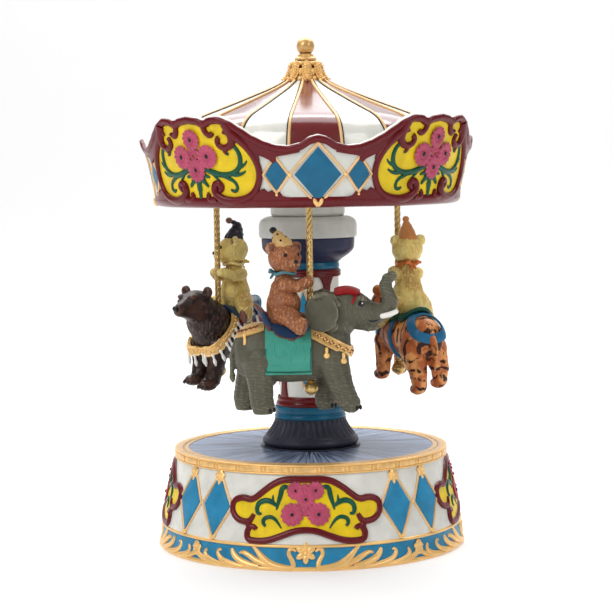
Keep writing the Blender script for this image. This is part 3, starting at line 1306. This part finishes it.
elephantPaint()
tigerPaint()
stripePaint()
hidePaint("brownTeddyFur", srgb(152, 92, 58), srgb(92, 48, 28), srgb(206, 150, 108), 0.45, 0.05, None, 1.7)
hidePaint("creamTeddyFur", srgb(238, 211, 124), srgb(194, 148, 64), srgb(248, 230, 166), 0.45, 0.05,
          srgb(198, 158, 82), 1.7)
hidePaint("bearFur", srgb(40, 27, 23), srgb(14, 9, 8), srgb(86, 58, 46), 0.36, 0.08, srgb(68, 40, 32))


def elephantWrinkles(p):
    x, _, z = p
    drift = noise.noise(p * 0.22)
    depth = 0.14 * noise.noise(p * 0.7)
    if z < 24 and x < 26:
        depth += 0.06 * sin((z + 2.4 * drift) * 2.5) * min(1.0, (24 - z) / 6)
    if x > 12 and z > 34:
        depth += 0.05 * sin((hypot(x - 35.0, z - 48.0) + 1.5 * drift) * 2.7)
    return depth


def buildElephant():
    f = "elephant"
    torsoRows = [(-35.4, 27, 2.4, 3), (-34, 27, 7, 8), (-29, 27.5, 11, 12.2), (-20, 27.5, 12.4, 13.2),
                 (-8, 27, 12.6, 13.2), (4, 28, 12, 12.8), (12, 30, 10, 11.5), (17, 31.5, 6.5, 8), (18.5, 32, 2.2, 3)]
    torso, shape = torsoAndShape(torsoRows)
    barrel(shape, [(6.6, 45, 3, 4), (8.6, 45.6, 7, 8.4), (14, 47.2, 8.8, 9.8), (20, 47.8, 8.6, 9), (26, 46.2, 6.4, 7),
                   (30, 44.8, 4.6, 4.8), (31.6, 44.4, 2, 2)])
    limb(shape, [(4, 0, 38, 9.5), (12, 0, 42, 9.2)])
    limb(shape, [(25, 0, 46.2, 5.8), (31, 0, 45.2, 4.9), (35.6, 0, 46.8, 4.3), (37.2, 0, 50.6, 3.8),
                 (36.0, 0, 54.6, 3.4), (34.9, 0, 58.2, 3.1), (36.0, 0, 61.2, 2.8), (38.0, 0, 62.4, 2.5)])
    limb(shape, [(22, 0, 41.4, 3.8), (27, 0, 39.2, 2.6), (30, 0, 38.6, 1.6)])
    for side in (-1, 1):
        way = about("Z", radians(20 * side)) @ about("Y", radians(-8))
        ball(shape, (5.0, 9.8 * side, 46.3), (8.4, 1.3, 9.0), way, 24, 16)
        limb(shape, [(1.6, 11.2 * side, 54.0, 1.1), (6.0, 10.6 * side, 55.0, 1.5), (10.4, 9.4 * side, 53.2, 1.7),
                     (12.8, 8.6 * side, 50.0, 1.3)])
        ball(shape, (8.6, 9.2 * side, 40.4), (4.6, 1.2, 3.6), way, 16, 10)
        ball(shape, (23.0, 5.4 * side, 52.2), (3.2, 2.2, 1.6), None, 12, 8)
    for stops in ([(-24, -6.6, 24, 8.4), (-23.4, -7.6, 13, 6.0), (-23.0, -8, 5.2, 5.6), (-22.4, -8, 3.6, 5.6)],
                  [(-26, 6.6, 24, 8.2), (-30, 8, 13, 5.6), (-31.4, 8, 5.6, 5.2), (-31.2, 8, 3.2, 5.0)],
                  [(10, -6.2, 24, 7.6), (13.6, -7.2, 13, 5.8), (16.6, -7.4, 6.0, 5.2), (18.0, -7.4, 4.4, 4.8)],
                  [(8.5, 6.4, 24, 7.2), (7.4, 7.2, 12, 5.4), (6.4, 7.4, 5.2, 5.0), (6.8, 7.4, 3.4, 5.0)]):
        limb(shape, stops)
    limb(shape, [(-34.2, 0, 33, 1.7), (-36.6, 0, 27, 1.3), (-36.8, 0, 19, 1.1), (-36.6, 0.4, 16.6, 1.7),
                 (-36.4, 0.6, 14.2, 0.9)])
    skin = fused(shape, figureSettings["skin"], 4)
    cutLevel(skin, 0.05)
    tree = BVHTree.FromBMesh(skin)
    skinCopy = skin.copy()
    figurePiece("elephantBody", worked(skin, elephantWrinkles), f, "elephantHide", ["elephant"])

    dark, ivory = blanks(2)
    for side in (-1, 1):
        eye, way = sideHit(tree, 23.3, 50.2, side)
        stud(dark, eye, way, (1.75, 1.55, 0.7), 0.3, 16, 8)
        stud(ivory, eye + way * 0.55 + Vector((0.35, 0, 0.3)), way, (0.6, 0.55, 0.3), 0.0, 10, 6)
        limb(ivory, [(33.2, 4.2 * side, 44.2, 1.3), (36.4, 4.9 * side, 44.9, 1.35), (39.6, 4.7 * side, 46.2, 1.15)])
        mouth = [(26.8, 42.6, 0.5), (28.2, 41.7, 1.0), (30.2, 41.9, 0.9), (31.6, 42.6, 0.4)]
        pressed(dark, stroke([mouth], 0.55), tree, side, -0.1)
    for x, y, r, z in ((-22.4, -8, 5.3, 1.9), (-31.2, 8, 4.9, 1.8), (18.0, -7.4, 4.7, 2.4), (6.8, 7.4, 4.9, 1.8)):
        for a in (-52, -17, 18, 53):
            turn = radians(a)
            ball(dark, (x + r * cos(turn), y + r * sin(turn), z), (0.75, 0.85, 1.05), about("Z", turn), 10, 8)
    figurePiece("elephantTusks", fused(ivory, 0.3, 3), f, "ivoryWhite")
    figurePiece("elephantDark", dark, f, "darkDotPaint")

    sides = [((-21, 0, 0), (-1, 0, 0)), ((0, 0, 0), (1, 0, 0)), ((0, 0, 19.4), (0, 0, -1))]
    cloth = layer(torso, 0.5, 0.9, sides, None, (27.0, 13.6))
    clothTree = BVHTree.FromBMesh(cloth)
    hem, embossed = blanks(2)
    for side in (-1, 1):
        edge = [(-20.8, 40.0), (-20.9, 30.0), (-20.8, 19.9), (-10.0, 19.6), (-0.2, 19.9), (-0.1, 30.0), (-0.2, 38.6)]
        pressed(hem, stroke([edge], 0.42, smooth=False), clothTree, side, -0.05)
        swirls = [[(-18.6, 36.0, 0.5), (-16.8, 33.4, 1.0), (-17.6, 29.6, 1.1), (-15.6, 26.0, 1.0), (-12.6, 26.6, 0.9),
                   (-12.4, 29.6, 0.8), (-14.2, 30.4, 0.5)],
                  [(-12.0, 33.6, 0.5), (-9.0, 34.4, 1.0), (-6.8, 31.6, 1.1), (-8.0, 28.0, 1.0), (-10.2, 25.0, 0.9),
                   (-8.2, 22.6, 0.7), (-5.6, 23.6, 0.5)],
                  [(-2.4, 35.4, 0.5), (-4.4, 32.8, 0.9), (-3.4, 29.0, 1.0), (-2.2, 26.0, 0.8), (-4.2, 24.6, 0.5)],
                  [(-18.8, 22.4, 0.6), (-15.8, 23.2, 0.9), (-13.0, 21.8, 0.6)]]
        pressed(embossed, stroke(swirls, 0.5), clothTree, side, -0.2)
    gathered(embossed, cloth)
    figurePiece("saddleCloth", embossed, f, "saddleClothTeal")
    figurePiece("saddleClothHem", hem, f, "hemGreen")
    buildSeat(f, torso)

    gold, inlay = blanks(2)
    slant = Vector((0.454, 0, 0.891))
    gathered(gold, layer(torso, 0.3, 1.1, [((9.96, 0, 34.5), slant), ((8.0, 0, 30.6), -slant),
                                           ((0.2, 0, 0), (-1, 0, 0))]))
    torsoTree = BVHTree.FromBMesh(torso)
    for k, (place, way) in enumerate(beltSpots(torsoTree, (6.0, 0, 34.1), -27.0, range(-112, 113, 8))):
        stud(inlay, place + way * 1.45, way, (1.35, 0.42, 0.35), 0.9 if k % 2 else -0.9)
        stud(gold, place + way * 1.5, way, (0.55, 0.55, 0.5))
    for side in (-1, 1):
        for x, z in ((7.1, 29.0), (14.8, 26.4)):
            spot = sideHit(tree, x, z, side)[0]
            if spot is not None:
                y = spot.y + side
                limb(gold, [(x, y, z + 1.2, 0.8), (x, y, z - 0.6, 0.75)])
                ball(gold, (x, y, z - 2.0), (1.5, 1.3, 1.4), None, 12, 8)
        y = sideHit(torsoTree, -30.6, 36.0, side)[0].y + 0.9 * side
        limb(gold, [(-30.6, y, 36.6, 0.8), (-30.4, y + 0.8 * side, 34.6, 0.7), (-30.4, y + 1.2 * side, 32.6, 0.8)])
    slope = Vector((-0.276, 0, 0.961))
    gathered(gold, layer(torso, 0.3, 1.1, [((-28.7, 0, 40.0), slope), ((-28.7, 0, 36.1), -slope),
                                           ((-21.4, 0, 0), (1, 0, 0))]))
    for k, (place, way) in enumerate(beltSpots(torsoTree, (-26.0, 0, 38.8), 16.0, range(76, 285, 9))):
        stud(inlay, place + way * 1.45, way, (1.2, 0.42, 0.35), 0.9 if k % 2 else -0.9)
    figurePiece("elephantHarness", gold, f, "antiqueGoldPaint")
    figurePiece("elephantInlay", inlay, f, "harnessInlay")

    sides = [((11.6, 0, 0), (-1, 0, 0)), ((22.6, 0, 0), (1, 0, 0)), ((0, 0, 54.0), (0, 0, -1)),
             ((0, -6.2, 0), (0, -1, 0)), ((0, 6.2, 0), (0, 1, 0))]
    cap = layer(skinCopy, 0.15, 0.9, sides)
    for side in (-1, 1):
        pressed(cap, stroke([[(21.0, 54.8), (20.4, 53.0), (19.0, 50.2)]], 0.62), tree, side, 0.1)
    figurePiece("elephantHeadband", cap, f, "headbandRed")
    skinCopy.free()
    torso.free()


seatSettings = {
    "elephant": {"back": -19.0, "front": -0.6, "low": 34.4, "peak": 49.6, "finish": "seatNavy",
                 "trim": "saddleLeather"},
    "bear": {"back": -21.0, "front": -0.8, "low": 35.6, "peak": 46.6, "finish": "seatNavy", "trim": "strapBlue"},
    "tiger": {"back": -21.0, "front": -0.8, "low": 35.4, "peak": 42.6, "finish": "seatGreen", "trim": "seatGreen"},
}


def buildSeat(figure, torso):
    # saddle seat with a raised back and a rolled edge
    s = seatSettings[figure]
    back, front, low = s["back"], s["front"], s["low"]
    span = front - back
    edge = [(back + 0.1, low + 5.4), (back + 0.1 * span, low + 2.6), (back + 0.24 * span, low + 0.9),
            (back + 0.55 * span, low - 0.6), (back + 0.82 * span, low + 0.9), (front - 0.3, low + 3.2)]
    outline = [(back, 80.0), *edge, (front, 80.0)]
    seat = layer(torso, 0.9, 1.3, [((back, 0, 0), (-1, 0, 0)), ((front, 0, 0), (1, 0, 0))], outline)
    tree = BVHTree.FromBMesh(seat)
    top = max(v.co.z for v in torso.verts if back < v.co.x < front)
    fan, roll = blanks(2)
    rise = s["peak"] - top
    tips = []
    for k in range(-8, 9):
        y = k * 0.95
        bend = 0.05 * y * y
        tip = (back - 6.4 + bend, 0.8 * y, top + rise - 0.9 * bend, 1.0)
        root = (back + 1.4, y, top - 0.4 - 0.9 * bend, 1.6)
        limb(fan, [root, (back - 1.4, 0.95 * y, top + 0.45 * rise - bend, 1.4), tip])
        tips.append((tip[0] - 0.2, tip[1], tip[2] + 0.5, 0.75))
    gathered(seat, fused(fan, 0.6, 3))
    limb(roll, tips)
    for side in (-1, 1):
        pressed(roll, stroke([edge], 1.05, resolution=8), tree, side)
        last = tips[-1 if side > 0 else 0]
        limb(roll, [last, (back - 1.6, 7.6 * side, top + 0.2 * rise - 1.0, 0.8),
                    (back + 0.2, 8.6 * side, top - 2.2, 0.85)])
    figurePiece(figure + "Seat", seat, figure, s["finish"])
    figurePiece(figure + "SeatRoll", roll, figure, s["trim"])


# turn of the head in degrees, drop of the feet, and the hat's lean, curl and height
riderSettings = {
    "elephant": {"fur": "brownTeddyFur", "slot": "teddy_brown", "turn": -58.0, "drop": 0.0,
                 "hatShape": (2.4, 0.5, 0.78), "hat": "hatTan", "hatSlot": "gold_paint", "pompom": "darkDotPaint",
                 "ribbon": "ribbonTeal"},
    "bear": {"fur": "creamTeddyFur", "slot": "teddy_cream", "turn": -44.0, "drop": 1.5, "hatShape": (2.8, -0.9, 1.0),
             "hat": "hatNavy", "hatSlot": "navy_resin", "pompom": "solePaint", "ribbon": "creamTeddyFur"},
    "tiger": {"fur": "creamTeddyFur", "slot": "teddy_cream", "turn": 0.0, "drop": 5.5, "hatShape": (-1.2, 0.4, 1.0),
              "hat": "hatOrange", "hatSlot": "gold_paint", "pompom": "hatOrange", "ribbon": "ribbonOrange"},
}


def buildTeddy(figure):
    # seated rider with both hands on the pole
    s = riderSettings[figure]
    slot, drop = s["slot"], s["drop"]
    neck = Vector((-11.6, 0, 64.0))
    face = Matrix.Translation(neck) @ about("Z", radians(s["turn"])) @ Matrix.Translation(-neck)
    shape = bmesh.new()
    limb(shape, [(-13.4, 0, 44.6, 7.3), (-13.2, 0, 50, 7.3), (-12.4, 0, 56.5, 6.2), (-11.8, 0, 62, 4.4)])
    ball(shape, (-12.0, 0, 50.0), (7.6, 7.6, 8.0), None, 20, 14)
    head = ball(shape, (-11.6, 0, 71.6), (7.5, 7.8, 7.2), None, 24, 16)
    head += ball(shape, (-7.6, 0, 69.2), (4.6, 5.4, 4.4), None, 16, 12)
    head += ball(shape, (-4.6, 0, 68.9), (3.0, 3.2, 2.7), None, 16, 10)
    for side in (-1, 1):
        head += ball(shape, (-12.4, 6.8 * side, 76.0), (1.7, 2.9, 2.9), None, 16, 12)
        limb(shape, [(-11.6, 5.4 * side, 59.4, 3.2), (-6.0, 5.6 * side, 58.4, 2.8), (-2.0, 3.8 * side, 60.0, 2.6),
                     (-0.4, 2.4 * side, 60.6, 2.4)])
        limb(shape, [(-13.0, 4.8 * side, 46.0, 5.2), (-9.2, 9.4 * side, 44.4 - drop / 3, 4.6),
                     (-6.6, 13.2 * side, 41.6 - drop, 3.6)])
        ball(shape, (-4.8, 14.6 * side, 41.0 - drop), (3.4, 2.8, 4.3), about("Y", radians(18)), 16, 10)
    bmesh.ops.transform(shape, matrix=face, verts=head)
    fur = fused(shape, figureSettings["fur"], 4)

    def tufts(p):
        flow = Vector((p.x * 1.15, p.y * 1.15, p.z * 0.5))
        return 0.3 * noise.noise(flow) + 0.22 * noise.noise(flow * 2.1) + 0.1 * noise.noise(p * 2.6)

    figurePiece(figure + "Teddy", worked(fur, tufts), figure, s["fur"], [figure + "_rider"])
    dark, soles, bow, cone, dots = blanks(5)
    parts = ball(dark, (-1.7, 0, 70.0), (0.8, 1.25, 0.95), None, 12, 8)
    for side in (-1, 1):
        parts += ball(dark, (-5.4, 3.4 * side, 73.0), (0.7, 0.95, 1.0), None, 12, 8)
        parts += ball(dark, (-2.2, 0.9 * side, 67.9), (0.4, 0.95, 0.3), about("X", -0.6 * side))
    parts += ball(dark, (-1.9, 0, 68.8), (0.35, 0.3, 0.9))
    bmesh.ops.transform(dark, matrix=face, verts=parts)
    figurePiece(figure + "TeddyFace", dark, figure, "darkDotPaint")
    for side in (-1, 1):
        ear = ball(soles, (-11.0, 7.2 * side, 76.1), (0.6, 1.5, 1.6), None, 12, 8)
        bmesh.ops.transform(soles, matrix=face, verts=ear)
    for side in (-1, 1):
        ball(soles, (-2.6, 14.9 * side, 40.2 - drop), (1.2, 2.3, 3.6), about("Y", radians(18)), 14, 10)
    figurePiece(figure + "TeddySoles", soles, figure, "solePaint")

    for k in range(28):
        a = 2 * pi * k / 28
        spot = neck + Vector((4.6 * cos(a), 5.1 * sin(a), 0.6 + 0.5 * sin(3 * a)))
        ball(bow, spot, (1.0, 1.0, 0.95), None, 10, 6)
    for side in (-1, 1):
        limb(bow, [(-16.6, 0.6 * side, 64.6, 0.8), (-18.2, 2.2 * side, 65.6, 1.1), (-18.6, 3.8 * side, 65.2, 0.8)])
        limb(bow, [(-16.8, 0.4 * side, 64.2, 0.7), (-18.2, 1.4 * side, 62.2, 0.6)])
    figurePiece(figure + "TeddyRibbon", fused(bow, 0.35, 2), figure, s["ribbon"])

    base = Vector((-12.2, 0, 76.6))
    lean, curl, tall = s["hatShape"]
    rise = [(0.0, 0.0, 5.0), (0.4, 2.2, 4.3), (0.8, 4.6, 3.3), (1.0, 7.0, 2.2), (1.0 + curl, 8.8, 1.3),
            (0.8 + 2.2 * curl, 9.9, 0.85)]
    limb(cone, [(base.x - along * lean, 0, base.z + up * tall, r) for along, up, r in rise])
    tip = Vector((base.x - rise[-1][0] * lean, 0, base.z + rise[-1][1] * tall))
    cutLevel(cone, 75.6)
    felt = fused(cone, 0.4, 3)

    def folds(p):
        a = atan2(p.y, p.x + 12.2)
        return 0.16 * sin(7 * a + 0.4 * p.z) * max(0.0, 1.0 - (p.z - 76) / 9)

    worked(felt, folds)
    feltTree = BVHTree.FromBMesh(felt)
    for k in range(9):
        ray = Vector((cos(2.4 * k), sin(2.4 * k), 0))
        origin = Vector((base.x - 0.6 * lean, 0, 78.6 + 0.72 * k * tall))
        hit = feltTree.ray_cast(origin + ray * 20, -ray)
        if hit[0] is not None:
            stud(dots, hit[0], hit[1], (0.6, 0.6, 0.22), 0.0, 10, 6)
    ball(dots, tip, (1.75, 1.7, 1.6), None, 16, 10)
    figurePiece(figure + "TeddyHat", felt, figure, s["hat"])
    figurePiece(figure + "TeddyPompom", dots, figure, s["pompom"])


def buildBear():
    f = "bear"
    torsoRows = [(-37.4, 26, 2.4, 3), (-35, 26.5, 8, 8.6), (-28, 27.5, 11.2, 12), (-16, 28, 11.8, 12.4),
                 (-4, 29.4, 11.8, 12.6), (5, 31, 10.8, 12), (11, 32, 8.4, 10), (14.6, 33, 3.6, 5)]
    torso, shape = torsoAndShape(torsoRows)
    mane = Vector((7.4, 0, 36.4))
    ball(shape, mane, (10.4, 11.4, 11.6), about("Y", 0.35), 24, 16)
    barrel(shape, [(7.6, 42.6, 3.2, 3.8), (9.5, 43, 7.4, 7.8), (14.6, 44, 9.6, 8.6), (19.6, 44.6, 8.4, 7.4),
                   (23.4, 44.2, 5.8, 5.4), (26.4, 43.6, 4.0, 3.9), (29, 43.2, 2.9, 2.9), (30.4, 43, 1.2, 1.3)])
    feet = [(13.0, 4.5, 5.0), (13.8, -4.5, 7.2), (-29.8, 6.2, 3.2), (-29.8, -6.2, 3.2)]
    for foot in feet:
        ball(shape, foot, (5.4, 4.3, 2.9), None, 16, 10)
    limb(shape, [(6.2, 4.9, 24, 6.6), (7.4, 4.7, 14, 4.6), (9.2, 4.5, 7.4, 4.0)])
    limb(shape, [(6.4, -4.9, 24, 6.6), (8.0, -4.7, 15, 4.6), (10.0, -4.5, 9.6, 4.0)])
    for side in (-1, 1):
        ball(shape, (15.2, 7.6 * side, 51.8), (1.8, 3.0, 3.0), None, 16, 12)
        ball(shape, (21.6, 3.9 * side, 49.6), (2.6, 2.4, 1.5), None, 12, 8)
        limb(shape, [(-27, 6.2 * side, 22, 8.0), (-31.4, 6.4 * side, 12, 5.2), (-32.4, 6.2 * side, 6.4, 4.4)])
    ball(shape, (-37.6, 0, 32), (2.4, 2.4, 2.4), None, 12, 8)
    skin = fused(shape, figureSettings["skin"], 4)
    tree = BVHTree.FromBMesh(skin)
    lean = radians(-48)
    up = Vector((-sin(lean), 0, cos(lean)))
    spot = Vector((4.0, 0, 31.2))
    collar = layer(skin, 0.5, 1.2, [(spot + up * 1.8, up), (spot - up * 1.8, -up)])

    def pelt(p):
        ruff = max(0.0, 1.0 - ((p - mane).length / 15.0) ** 4)
        face = min(1.0, max(0.0, (p.x - 17.5) / 3.0)) if p.z > 38 else 0.0
        flow = Vector((p.x * 0.9, p.y * 0.9, p.z * 0.34))
        tufts = (0.22 + 0.3 * ruff) * noise.noise(flow) + (0.14 + 0.16 * ruff) * noise.noise(flow * 2.2)
        return (1.0 - 0.8 * face) * (tufts + 0.1 * noise.noise(p * 1.9))

    figurePiece("bearBody", worked(skin, pelt), f, "bearFur", ["bear"])
    dark, ivory, gold = blanks(3)
    ball(dark, (30.2, 0, 44.2), (1.4, 1.9, 1.5), None, 14, 10)
    for side in (-1, 1):
        eye, way = sideHit(tree, 23.2, 47.4, side)
        stud(dark, eye, way, (1.15, 1.0, 0.6), 0.0, 12, 8)
    for x, y, z in feet:
        for k in (-1.5, -0.5, 0.5, 1.5):
            tip = x + 4.8 - 0.4 * k * k
            limb(dark, [(tip, y + 1.9 * k, z - 0.1, 0.55), (tip + 0.9, y + 1.9 * k, z - 1.3, 0.35)])
    figurePiece("bearDark", dark, f, "darkDotPaint")
    gathered(gold, collar)
    for k, (place, way) in enumerate(beltSpots(tree, spot, -48.0, range(-180, 180, 8))):
        stud(gold, place + way * 1.8, way, (1.0, 0.5, 0.4), 0.8 if k % 2 else -0.8)
    for place, way in beltSpots(tree, spot - up * 1.6, -48.0, range(-120, 121, 15)):
        top = place + way * 1.5
        low = (way - up * 2.0 + Vector((0, 0, -1.2))).normalized()
        limb(ivory, [(*top, 0.95), (*(top + low * 1.8), 0.6), (*(top + low * 3.8), 1.05), (*(top + low * 5.4), 0.6)])
    figurePiece("bearCollar", gold, f, "antiqueGoldPaint")
    figurePiece("bearTassels", fused(ivory, 0.35, 2), f, "ivoryWhite")
    blanket = layer(torso, 0.4, 0.8, [((-23.0, 0, 0), (-1, 0, 0)), ((-3.0, 0, 0), (1, 0, 0)),
                                      ((0, 0, 29.0), (0, 0, -1))])
    figurePiece("bearBlanket", blanket, f, "blanketStripes")
    buildSeat(f, torso)
    torso.free()


def buildTiger():
    f = "tiger"
    torsoRows = [(-39, 28, 2, 2.5), (-36.6, 28, 7.4, 8), (-29, 28.5, 10, 10.8), (-18, 28, 10.3, 11),
                 (-6, 28.5, 10.4, 11.2), (3, 30, 9.6, 11), (9, 31.5, 7.4, 9), (12.4, 32.6, 3.4, 4.6)]
    torso, shape = torsoAndShape(torsoRows)
    limb(shape, [(0, 0, 34, 9.0), (7, 0, 38, 7.6)])
    barrel(shape, [(5.6, 40.6, 3, 3.6), (7.6, 41.2, 6.8, 7.2), (12.6, 42.6, 8.7, 8.4), (17.6, 42.4, 7.6, 7.2),
                   (21.4, 40.8, 5.0, 4.6), (24.4, 40, 3.6, 3.3), (26, 39.8, 1.8, 1.8)])
    for side in (-1, 1):
        ball(shape, (10.8, 6.6 * side, 50.0), (1.6, 2.8, 3.0), None, 16, 12)
        ball(shape, (15.0, 6.4 * side, 38.4), (3.4, 3.0, 3.2), None, 14, 10)
    for stops in ([(-29, 5.0, 23, 7.4), (-34.4, 5.2, 12, 4.6), (-34.6, 4.6, 5.4, 3.8)],
                  [(-28, -5.6, 23, 7.4), (-33, -7.2, 13.5, 4.6), (-32.6, -7.4, 7.8, 3.8)],
                  [(3.4, 5.6, 25, 6.0), (3.9, 6.8, 14, 3.9), (3.7, 7.0, 9.0, 3.6)],
                  [(4, -5.6, 25, 6.0), (9.4, -6.0, 16, 4.2), (11.2, -6.2, 10.2, 3.7)],
                  [(-36, 0, 32, 2.3), (-40.4, 0, 28.4, 1.9), (-41.6, -1, 20.6, 1.7), (-40.3, -2.5, 13.4, 1.7)]):
        limb(shape, stops)
    feet = [(-32.2, 4.5, 3.8), (-30.2, -7.4, 6.2), (6.2, 7.0, 7.8), (13.4, -6.2, 8.7)]
    for foot in feet:
        ball(shape, foot, (4.8, 3.8, 2.8), None, 16, 10)
    skin = fused(shape, figureSettings["skin"], 4)

    def coat(p):
        flow = Vector((p.x * 0.9, p.y * 0.9, p.z * 0.45))
        return 0.2 * noise.noise(flow) + 0.14 * noise.noise(flow * 2.2)

    figurePiece("tigerBody", worked(skin, coat), f, "tigerHide", ["tiger"])
    dark = bmesh.new()
    ball(dark, (25.8, 0, 41.2), (1.0, 1.5, 0.9), None, 12, 8)
    for side in (-1, 1):
        ball(dark, (20.0, 4.4 * side, 44.6), (0.9, 1.0, 0.9), None, 12, 8)
    figurePiece("tigerDark", dark, f, "darkDotPaint")
    blue = bmesh.new()
    slope = Vector((-sin(radians(40)), 0, cos(radians(40))))
    mid = Vector((-34.0, 0, 33.0))
    sides = [(mid + slope * 1.6, slope), (mid - slope * 1.6, -slope), ((-23.0, 0, 0), (1, 0, 0)),
             ((0, 0, 21.0), (0, 0, -1))]
    gathered(blue, layer(torso, 0.5, 1.1, sides))
    torsoTree = BVHTree.FromBMesh(torso)
    for side in (-1, 1):
        for path in ([(-12.0, 38.0), (-12.6, 32.0), (-13.6, 26.0), (-14.8, 18.4)],
                     [(-4.0, 36.0), (0.0, 33.0), (6.0, 28.6), (10.0, 26.6)]):
            pressed(blue, stroke([path], 1.3), torsoTree, side, 0.2)
    figurePiece("tigerStraps", blue, f, "strapBlue")
    buildSeat(f, torso)
    torso.free()


buildElephant()
buildBear()
buildTiger()
print("animals done")
for figure in riderSettings:
    buildTeddy(figure)
print("riders done")


# pieces that keep their CAD shape get worked-metal finishes

metalSettings = {
    "spunBrass": {"bright": srgb(206, 168, 92), "dull": srgb(136, 98, 44), "rough": 0.3, "grain": 240.0,
                  "nodes": ["movement_bedplate", "governor_bracket", "winding_key", "spring_barrel", "barrel_cap",
                            "cylinder_drum", "cylinder_wheel", "idler_wheel", "spindle_bush", "drive_collar",
                            "pole_nuts"]},
    "groundSteel": {"bright": srgb(186, 188, 190), "dull": srgb(112, 114, 120), "rough": 0.26, "grain": 320.0,
                    "nodes": ["bottom_plate_screws", "movement_screws", "comb", "comb_screws", "governor_screws",
                              "spring_arbor", "cylinder_arbor", "cylinder_pinion", "governor_worm", "governor_fly",
                              "mainspring", "drive_spindle"]},
    "blackedPlate": {"bright": srgb(40, 40, 44), "dull": srgb(20, 20, 22), "rough": 0.46, "grain": 180.0,
                     "nodes": ["bottom_plate"]},
}


def dressMetal():
    for name, s in metalSettings.items():
        shader, coords = startMaterial(name)
        brushed = coords.stretched(1.0, 6.0, 6.0).grain(s["grain"], 4.0)
        spots = coords.grain(60.0, 3.0).step(0.5, 0.75)
        colour = (brushed.step(0.4, 0.7) * 0.5 + spots * 0.4).blend(s["bright"], s["dull"])
        finishPaint(shader, coords, colour, s["rough"], 0.0, 0.95, brushed, 0.0001, 0.2, 0.1)
        for node in s["nodes"]:
            for slot in frame["nodes"][node].material_slots:
                slot.material = paints[name]


dressMetal()
print("metal dressed")


# stage, light and camera

def lightPanel(name, place, target, size, power):
    data = bpy.data.lights.new(name, "AREA")
    data.shape = "RECTANGLE"
    data.size, data.size_y = size
    data.energy = power
    light = bpy.data.objects.new(name, data)
    bpy.context.collection.objects.link(light)
    light.location = place
    light.visible_camera = False
    light.rotation_mode = "QUATERNION"
    light.rotation_quaternion = (Vector(target) - Vector(place)).to_track_quat("-Z", "Y")


stageSettings = {"front": -6.0, "back": 3.2, "bend": 0.9, "top": 3.4, "half": 6.0, "sky": 0.18, "glow": 0.36}
# place, what it faces, size and power
lightSettings = {
    "overhead": ((0.0, 0.45, 1.05), (0, 0, 0.2), (1.4, 1.1), 13.0),
    "keyLeft": ((-0.75, -0.95, 1.0), (0, 0, 0.12), (0.7, 0.9), 10.5),
    "fillRight": ((1.0, -0.8, 0.8), (0, 0, 0.12), (0.5, 0.8), 4.0),
    "backdropLight": ((0.0, 1.4, 2.6), (0, 3.0, 0.0), (4.0, 1.0), 90.0),
}


def buildStage():
    # floor that sweeps up into the backdrop
    s = stageSettings
    turns = [radians(6 * k) for k in range(16)]
    arc = [(s["back"] + s["bend"] * sin(a), s["bend"] * (1 - cos(a))) for a in turns]
    bm = bmesh.new()
    profile = [(s["front"], 0.0), *arc, (s["back"] + s["bend"], s["top"])]
    line = [bm.verts.new((-s["half"], y, z)) for y, z in profile]
    edges = [bm.edges.new(pair) for pair in zip(line, line[1:])]
    made = bmesh.ops.extrude_edge_only(bm, edges=edges)["geom"]
    bmesh.ops.translate(bm, vec=(2 * s["half"], 0, 0), verts=[v for v in made if isinstance(v, bmesh.types.BMVert)])
    bmesh.ops.recalc_face_normals(bm, faces=bm.faces)
    mesh = bpy.data.meshes.new("floorSweep")
    bm.to_mesh(mesh)
    bm.free()
    mesh.polygons.foreach_set("use_smooth", [True] * len(mesh.polygons))
    floor = bpy.data.objects.new("floorSweep", mesh)
    bpy.context.collection.objects.link(floor)
    shader, coords = startMaterial("paleFloor")
    finishPaint(shader, coords, (0.62, 0.62, 0.62), 0.6, 0.0, 0.0, None, 0.0001, 0.02, 0.01)
    feed(shader, "Emission Color", (1.0, 1.0, 1.0, 1.0))    # lit from below, as a product table is
    feed(shader, "Emission Strength", s["glow"])
    mesh.materials.append(paints["paleFloor"])
    world = bpy.context.scene.world or bpy.data.worlds.new("studio")
    bpy.context.scene.world = world
    world.use_nodes = True
    sky = world.node_tree.nodes["Background"]
    feed(sky, "Color", (1.0, 1.0, 1.0, 1.0))
    feed(sky, "Strength", s["sky"])
    for name, values in lightSettings.items():
        lightPanel(name, *values)
    bpy.context.scene.view_settings.view_transform = "Standard"


cameraSettings = {
    "place": (0.03733, -0.92934, 0.18687),
    "right": (0.99908593, 0.0406445, -0.01324085),
    "up": (0.01010811, 0.07633665, 0.99703086),
    "ahead": (-0.04153458, 0.99625335, -0.07585604),
    "lens": 111.67,
}


def buildCamera():
    s = cameraSettings
    data = bpy.data.cameras.new("photoCamera")
    data.sensor_width = 36.0
    data.lens = s["lens"]
    camera = bpy.data.objects.new("photoCamera", data)
    bpy.context.collection.objects.link(camera)
    axes = Matrix((s["right"], s["up"], [-a for a in s["ahead"]])).transposed()
    camera.matrix_world = Matrix.Translation(s["place"]) @ axes.to_4x4()
    bpy.context.scene.camera = camera


buildStage()
buildCamera()
print("stage and camera done")
